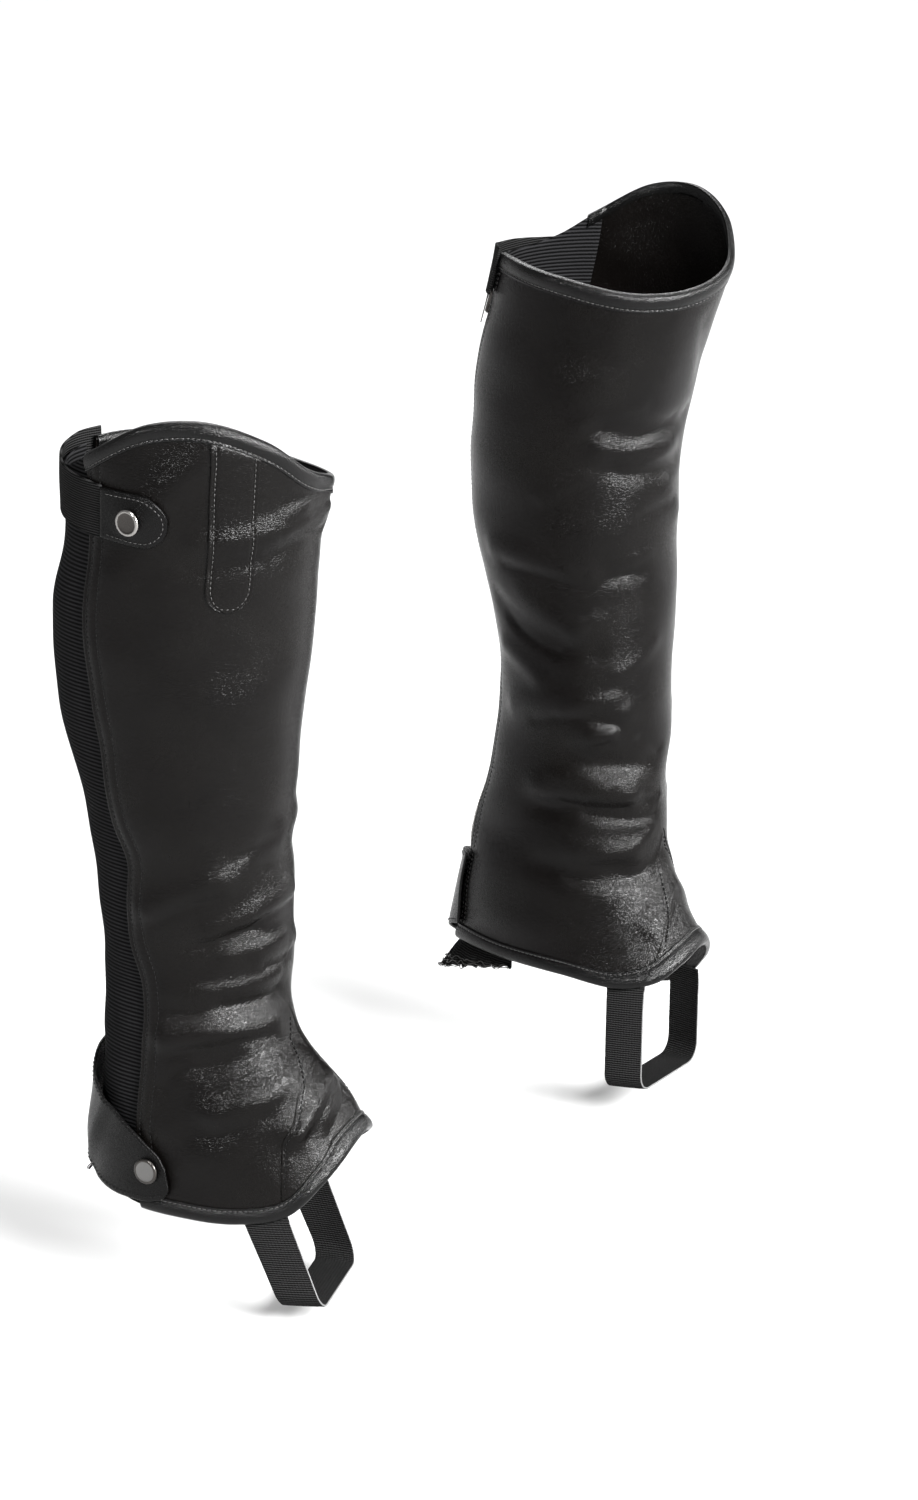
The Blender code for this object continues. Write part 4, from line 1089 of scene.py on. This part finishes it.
def lay_strip(name, leg, angles, heights, lift, thickness, looks, cad_node, crown=0.0):
    """Wall of a strip: its outer face is crowned by crown * sqrt(1 - (2 share - 1)^2) across its width."""
    share = np.linspace(0.0, 1.0, heights.shape[0])[:, None]
    hump = crown * (1 - (2 * share - 1) ** 2) ** 0.5
    lift = np.broadcast_to(lift, heights.shape)
    inner = wall(leg, angles, heights, lift)
    outer = wall(leg, angles, heights, lift + thickness + hump)
    made = cloth_piece(name, leg, angles, heights, outer, inner, looks)
    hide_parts(cad_node)
    return made, cut_of(outer)


# %% Top strap and its leather end
CROWN = 0.3


def strap_end_reach(leg):
    """Angle that the round tip of the strap's end takes up."""
    tip = STRAP_END_ANGLES[1]
    return abs(turn_for(leg, tip, leg["front_top"] + TOP_SNAP[1], STRAP_END_HALF_HEIGHT) - tip)


def strap_end_middle(leg, run):
    """Height of the middle of the strap's end."""
    return leg["front_top"] + np.interp(run, STRAP_END_ANGLES[::-1], STRAP_END_DROPS[::-1])


for side, leg in legs.items():
    table = TOP_STRAP[::-1]
    run = np.linspace(TOP_STRAP[-1][0], TOP_STRAP[0][0], 70)
    centre = leg["front_top"] + smooth(run, table, 1)
    angles, heights = strip_grid(run, centre - STRAP_HALF_HEIGHT, centre + STRAP_HALF_HEIGHT)
    pieces[side, "strap"] = lay_strip(
        f"{side}_strap_webbing", leg, angles, heights, smooth(run, table, 2), WEBBING, strap_webbing,
        f"{side}_top_strap",
    )
    start, tip = STRAP_END_ANGLES
    reach = strap_end_reach(leg)
    bend = np.sin(np.linspace(0.0, 0.472 * np.pi, 16))
    run = np.concatenate([np.linspace(start, tip + reach, 20)[:-1], tip + reach * (1 - bend)])
    half = np.concatenate([np.ones(19), np.sqrt(1 - bend**2)]) * STRAP_END_HALF_HEIGHT
    centre = strap_end_middle(leg, run)
    angles, heights = strip_grid(run, centre - half, centre + half)
    pieces[side, "strap end"] = lay_strip(
        f"{side}_strap_tip", leg, angles, heights, TOP_STRAP[-1][2], STRAP_END_THICKNESS - CROWN,
        strap_leather, f"{side}_strap_end", CROWN,
    )

# %% Heel tab
def tab_crease(angle, height):
    """Ridge that runs slantwise over the tab behind its stud, and a hollow beside it."""
    along = (angle - 148.0) * 0.9 + (height - 116.0) * 0.5
    return 0.9 * np.exp(-((along / 5.0) ** 2)) - 0.5 * np.exp(-(((along + 9.0) / 6.0) ** 2))


for side, leg in legs.items():
    table = ANKLE_TAB[::-1]
    tip, last = table[0][0], table[-1][0]
    straight = np.linspace(tip + TAB_ROUND, last, 90)[1:]
    run = np.concatenate([tip + TAB_ROUND * round_start(18), straight])
    angles, heights = strip_grid(run, smooth(run, table, 1), smooth(run, table, 2), 20)
    lift = TAB_LIFT + tab_crease(angles, heights)
    pieces[side, "tab"] = lay_strip(
        f"{side}_heel_tab", leg, angles, heights, lift, LEATHER - CROWN, strap_leather,
        f"{side}_ankle_tab", CROWN,
    )

# %% Calf patch
def patch_grid(leg, across, start=0.0):
    """Angles and heights of the patch: round at its foot, straight up to the binding."""
    round_foot = start + (1.0 - start) * round_start(16)
    up = np.concatenate([round_foot, np.linspace(1.0, PATCH_TALL, 60)[1:]])[:, None]
    half = np.sqrt(1 - np.clip(1 - up, 0.0, 0.985) ** 2)
    angles = np.interp(up, (0.0, PATCH_TALL), PATCH_ANGLES) + across * half * PATCH_HALF_ANGLE
    head = top_height(leg, angles) - TOP_BINDING_DEPTH + SEAM_GAP
    foot = PATCH_FOOT + leg["front_top"] - legs["right"]["front_top"]
    return angles, foot + (head - foot) * up / PATCH_TALL


for side, leg in legs.items():
    across = 2 * close_to_edges(34, 0.02) - 1
    angles, heights = patch_grid(leg, across)
    lift = np.full(angles.shape, LEATHER + SEAM_GAP + 0.2)
    dip = dips((1 - np.abs(across)) * PATCH_HALF_ANGLE * 1.06, (1.9,), 0.5)
    outer = wall(leg, angles, heights, lift + PATCH_THICKNESS + dip)
    inner = wall(leg, angles, heights, lift)
    piece = cloth_piece(f"{side}_calf_patch", leg, angles, heights, outer, inner, black_leather)
    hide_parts(f"{side}_side_patch")
    pieces[side, "patch"] = piece, cut_of(outer)

# %% [markdown]
# ## The stirrup
#
# An elastic loop runs from one side of the hem to the other under the arch of the boot. It is a strip that
# is carried round a U-shaped path. A thin pale cord along its front edge is a painted highlight on that edge.

# %% Path of the stirrup
def stirrup_path(leg, x):
    """U across the leg at a distance ahead of the axis: outward and up, from the outer to the inner side."""
    low = leg["stirrup_low"]
    bend, foot_half = 10.0, 43.0
    sides = []
    for way in (1, -1):
        edge = hem_height(70.0 * way)
        heights = np.concatenate([np.linspace(edge + 11, edge - 3, 7), np.linspace(edge - 5, low + bend, 18)])
        centre, depth, width = (smooth(heights, leg["sections"], k) for k in (1, 2, 3))
        reach = width * np.sqrt(1 - np.clip((x - centre) / depth, -0.95, 0.95) ** 2)
        tucked = reach - LEATHER - 1.2 - 3 * SEAM_GAP
        free = np.clip((edge - heights) / 30.0, 0.0, 1.0)
        out = tucked * (1 - free) + np.minimum(foot_half, tucked) * free
        turn = np.radians(np.linspace(10.0, 90.0, 9))
        corner = np.stack([out[-1] - bend * (1 - np.cos(turn)), low + bend * (1 - np.sin(turn))], axis=-1)
        run = np.concatenate([np.stack([out, heights], axis=-1), corner])
        run[:, 0] *= way
        sides.append(run)
    across = np.linspace(sides[0][-1, 0], sides[1][-1, 0], 12)[1:-1]
    return np.concatenate([sides[0], np.stack([across, np.full(10, low)], axis=-1), sides[1][::-1]])


def stirrup_lines(leg, places):
    """Lines along the stirrup, one for each place from its back edge, 0, to its front edge, 1."""
    lines = []
    for place in places:
        head, foot = (np.interp(place, (0.0, 1.0), leg[end]) for end in ("stirrup_top", "stirrup_bottom"))
        path = stirrup_path(leg, head)
        fall = np.clip((path[0, 1] - 8 - path[:, 1]) / (path[0, 1] - 8 - leg["stirrup_low"]), 0.0, 1.0)
        lines.append(np.concatenate([(head + (foot - head) * fall)[:, None], path], axis=1))
    return np.stack(lines, axis=1)


# %% Make the stirrup
for side, leg in legs.items():
    inner = stirrup_lines(leg, 1 - close_to_edges(9, 0.03))
    step = np.gradient(inner, axis=0)
    outward = unit(np.stack([np.zeros(step.shape[:2]), -step[..., 2], step[..., 1]], axis=-1))
    outer = inner + outward * STIRRUP_THICKNESS
    length = length_along(inner[:, 5])[:, None]
    width = np.degrees(np.linspace(0.0, STIRRUP_WIDTH, inner.shape[1])[None] / FLAT_RADIUS)
    piece = cloth_piece(f"{side}_foot_stirrup", leg, width, length, outer, inner, strap_webbing)
    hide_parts(f"{side}_stirrup")
    pieces[side, "stirrup"] = piece, cut_of(outer)
    # Pale cord along the front edge: a painted highlight.
    edge = outer[6:-6, 0] + (inner[6:-6, 0] - outer[6:-6, 0]) * 0.5
    first = unit(np.cross(unit(np.gradient(edge, axis=0)), outward[6:-6, 0]))
    rings = round_rings(edge, first, outward[6:-6, 0], 0.55, 8)
    carried(f"{side}_stirrup_selvedge", leg, rings, highlight_cord)

# %% [markdown]
# ## The gathered foot of the elastic
#
# Below the hem the elastic hangs out in a small frill. It is a grid whose lower rows swing in and out, and
# three loose threads wander along it.

# %% Make the frill
GATHER_WAVES = 6
FRAYED = ((-1, 0.0), (-3, 2.1), (-5, 4.0))  # row of the grid that a loose thread follows, and its phase

for side, leg in legs.items():
    run = np.linspace(*GATHER_ANGLES, 130)
    along = np.linspace(0.0, 1.0, len(run))
    fall = np.concatenate([[-5.0], np.linspace(-3.0, GATHER_DROP, 16)])[:, None]
    hang = np.clip((fall - 2.5) / (GATHER_DROP - 2.5), 0.0, 1.0)
    turn = 2 * np.pi * along
    ruffle = 0.6 * np.sin(GATHER_WAVES * turn + 2.0 * np.sin(7.0 * along)) + 0.25 * np.sin(13 * turn + 1.0)
    drop = fall * (1 - 0.7 * hang * along**2) + 0.7 * hang * np.sin(9 * turn + 1.2)
    heights = hem_height(run) - drop
    out = GATHER_SEAT + hang * (GATHER_FLARE * (1 - along) + 1.0 + 1.8 * ruffle)
    angles = np.broadcast_to(run, heights.shape)
    outer = wall(leg, angles, heights, out)
    inner = wall(leg, angles, heights, out - 1.1)
    piece = cloth_piece(f"{side}_heel_frill", leg, angles, heights, outer, inner, strap_webbing)
    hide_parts(f"{side}_heel_gather")
    pieces[side, "frill"] = piece, cut_of(outer)
    for number, (row, phase) in enumerate(FRAYED):
        swings = (0.5, 31, phase), (0.5, 23, phase), (0.7, 43, 2 * phase)
        wander = np.stack([size * np.sin(turns * along + shift) for size, turns, shift in swings], axis=-1)
        strand = outer[row] + wander + unit(outer[row] - inner[row]) * 0.7
        along_way = unit(np.gradient(strand, axis=0))
        first = unit(np.cross(along_way, (0.0, 0.0, 1.0)))
        rings = round_rings(strand, first, np.cross(along_way, first), 0.28, 6)
        carried(f"{side}_frayed_thread_{number + 1}", leg, rings, sheen_painted_thread)

# %% [markdown]
# ## Sewing it together
#
# Every seam that shows gets its row: two along each back edge of the leather, one on each binding,
# one on the gusset beside its seam, and one round the patch, the strap's end and the tab. The rows at the
# zip, on the bindings, the patch and the strap's end are sewn in a paler thread, a painted sheen for the
# glints of light that their stitches catch.

# %% Lines of the seams
BINDING_SEAM_AT = 0.83


def seams_of(leg):
    """Lines to sew as (angles, heights, distance out)."""
    share = np.linspace(0.012, 0.978, 260)
    lines = []
    for outer, rows_at in ((True, OUTER_ROWS_AT), (False, INNER_ROWS_AT)):
        for distance in rows_at:
            lines.append((*edge_line(leg, share, distance, outer), LEATHER - 0.3))
    for share, depth in ((1.0, -TOP_BINDING_DEPTH), (0.0, HEM_BINDING_DEPTH)):
        outer, inner = edge_angles(leg, share)
        run = np.linspace(outer - 1.0, inner + 1.0, 300)
        lines.append((run, height_at(leg, run, share) + BINDING_SEAM_AT * depth, LEATHER + 0.85))
    angles, _, seam, slope = gusset_grid(leg)
    columns = angles[0]
    sewn = seam - 2.0 * np.sqrt(1 + slope**2)
    for part in (columns < -2.5, columns > 3.5):
        keep = part & (sewn > hem_height(columns) + HEM_BINDING_DEPTH)
        lines.append((columns[keep], sewn[keep], LEATHER - 0.15))
    return lines


# %% Sew
for side, leg in legs.items():
    lines = [stitch_row(leg, angles, heights, out) for angles, heights, out in seams_of(leg)]
    rows, bound = lines[:2] + lines[6:], lines[2:6]
    left, right = (patch_grid(leg, np.array([k]), 0.03) for k in (-0.82, 0.82))
    run = [np.concatenate([left[k][::-1, 0], right[k][:, 0]]) for k in (0, 1)]
    # These rows take the paler thread, a painted sheen.
    pale = [stitch_row(leg, run[0], run[1] + 1.6, LEATHER + SEAM_GAP + 1.05)]
    start, tip = STRAP_END_ANGLES
    t = np.linspace(0.0, np.pi, 40)
    inset = STRAP_END_HALF_HEIGHT - EDGE_SEAM_AT
    reach = strap_end_reach(leg)
    reach_in = reach * inset / STRAP_END_HALF_HEIGHT
    straight = np.linspace(start - 1.5, tip + reach, 20)
    run = np.concatenate([straight, tip + reach - reach_in * np.sin(t), straight[::-1]])
    level = np.concatenate([np.full(20, inset), inset * np.cos(t), np.full(20, -inset)])
    out = TOP_STRAP[-1][2] + STRAP_END_THICKNESS - 0.05
    pale.append(stitch_row(leg, run, strap_end_middle(leg, run) + level, out))
    table = ANKLE_TAB[::-1]
    run = np.linspace(114.5, 214.0, 120)
    for column, way in ((1, 1.0), (2, -1.0)):
        edge = smooth(run, table, column) + way * EDGE_SEAM_AT
        rows.append(stitch_row(leg, run, edge, TAB_LIFT + LEATHER - 0.1 + tab_crease(run, edge)))
    sew(f"{side}_stitching", rows, thread)
    sew(f"{side}_sheen_painted_stitching", pale + bound, sheen_painted_thread)

# %% [markdown]
# ## Cut sizes
#
# The size that each sheet was cut to was measured above on its outer face, and is printed here.

for (side, label), (piece, (width, length, area)) in pieces.items():
    print(f"{piece.name}: {width:.3f} x {length:.3f} m, {area:.4f} m2")

# %% [markdown]
# ## Floor and light
#
# A pale floor reaches behind the chaps, and large soft lamps stand in front, to both sides, behind
# and above, so that the black leather is drawn by its reflections.

# %% Floor
FLOOR_LEVEL = -0.3915  # in metres, as are all the sizes of the floor and the lamps
FLOOR_REACH = 40.0
floor_mesh = bpy.data.meshes.new("floor")
corners = [(x * FLOOR_REACH, y * FLOOR_REACH, FLOOR_LEVEL) for x, y in ((-1, -1), (1, -1), (1, 1), (-1, 1))]
floor_mesh.from_pydata(corners, [], [(0, 1, 2, 3)])
floor_mesh.materials.append(start_material("pale floor", grey(0.34), 0.9, specular=0.1)[0])
floor = bpy.data.objects.new("floor", floor_mesh)
bpy.context.scene.collection.objects.link(floor)

# %% Lamps and sky
AIM = Vector((0.12, 0.15, -0.1))
# Name, place, width, height and power of each
LAMPS = (
    ("front softbox", (2.95, -3.4, 2.0), 2.8, 1.4, 1550.0),
    ("left softbox", (-1.9, -3.5, 2.3), 0.8, 0.6, 190.0),
    ("right softbox", (2.68, 0.6, 0.95), 0.8, 1.3, 110.0),
    ("back softbox", (0.0, 4.2, 3.2), 3.0, 1.5, 215.0),
)
for name, place, width, height, power in LAMPS:
    lamp_data = bpy.data.lights.new(name, "AREA")
    lamp_data.shape = "ELLIPSE"
    lamp_data.size, lamp_data.size_y, lamp_data.energy = width, height, power
    lamp = bpy.data.objects.new(name, lamp_data)
    lamp.location = place
    lamp.rotation_euler = (AIM - Vector(place)).to_track_quat("-Z", "Y").to_euler()
    bpy.context.scene.collection.objects.link(lamp)

sun_data = bpy.data.lights.new("ceiling", "SUN")
sun_data.energy, sun_data.angle = 2.4, math.radians(30.0)
sun = bpy.data.objects.new("ceiling", sun_data)
sun.rotation_euler = Vector((-0.2, 0.12, -0.97)).to_track_quat("-Z", "Y").to_euler()
bpy.context.scene.collection.objects.link(sun)

world = bpy.data.worlds.new("studio")
world.use_nodes = True
sky = world.node_tree.nodes["Background"].inputs
sky["Color"].default_value, sky["Strength"].default_value = (1.0, 1.0, 1.0, 1.0), 0.4
bpy.context.scene.world = world
bpy.context.scene.view_settings.view_transform = "Standard"
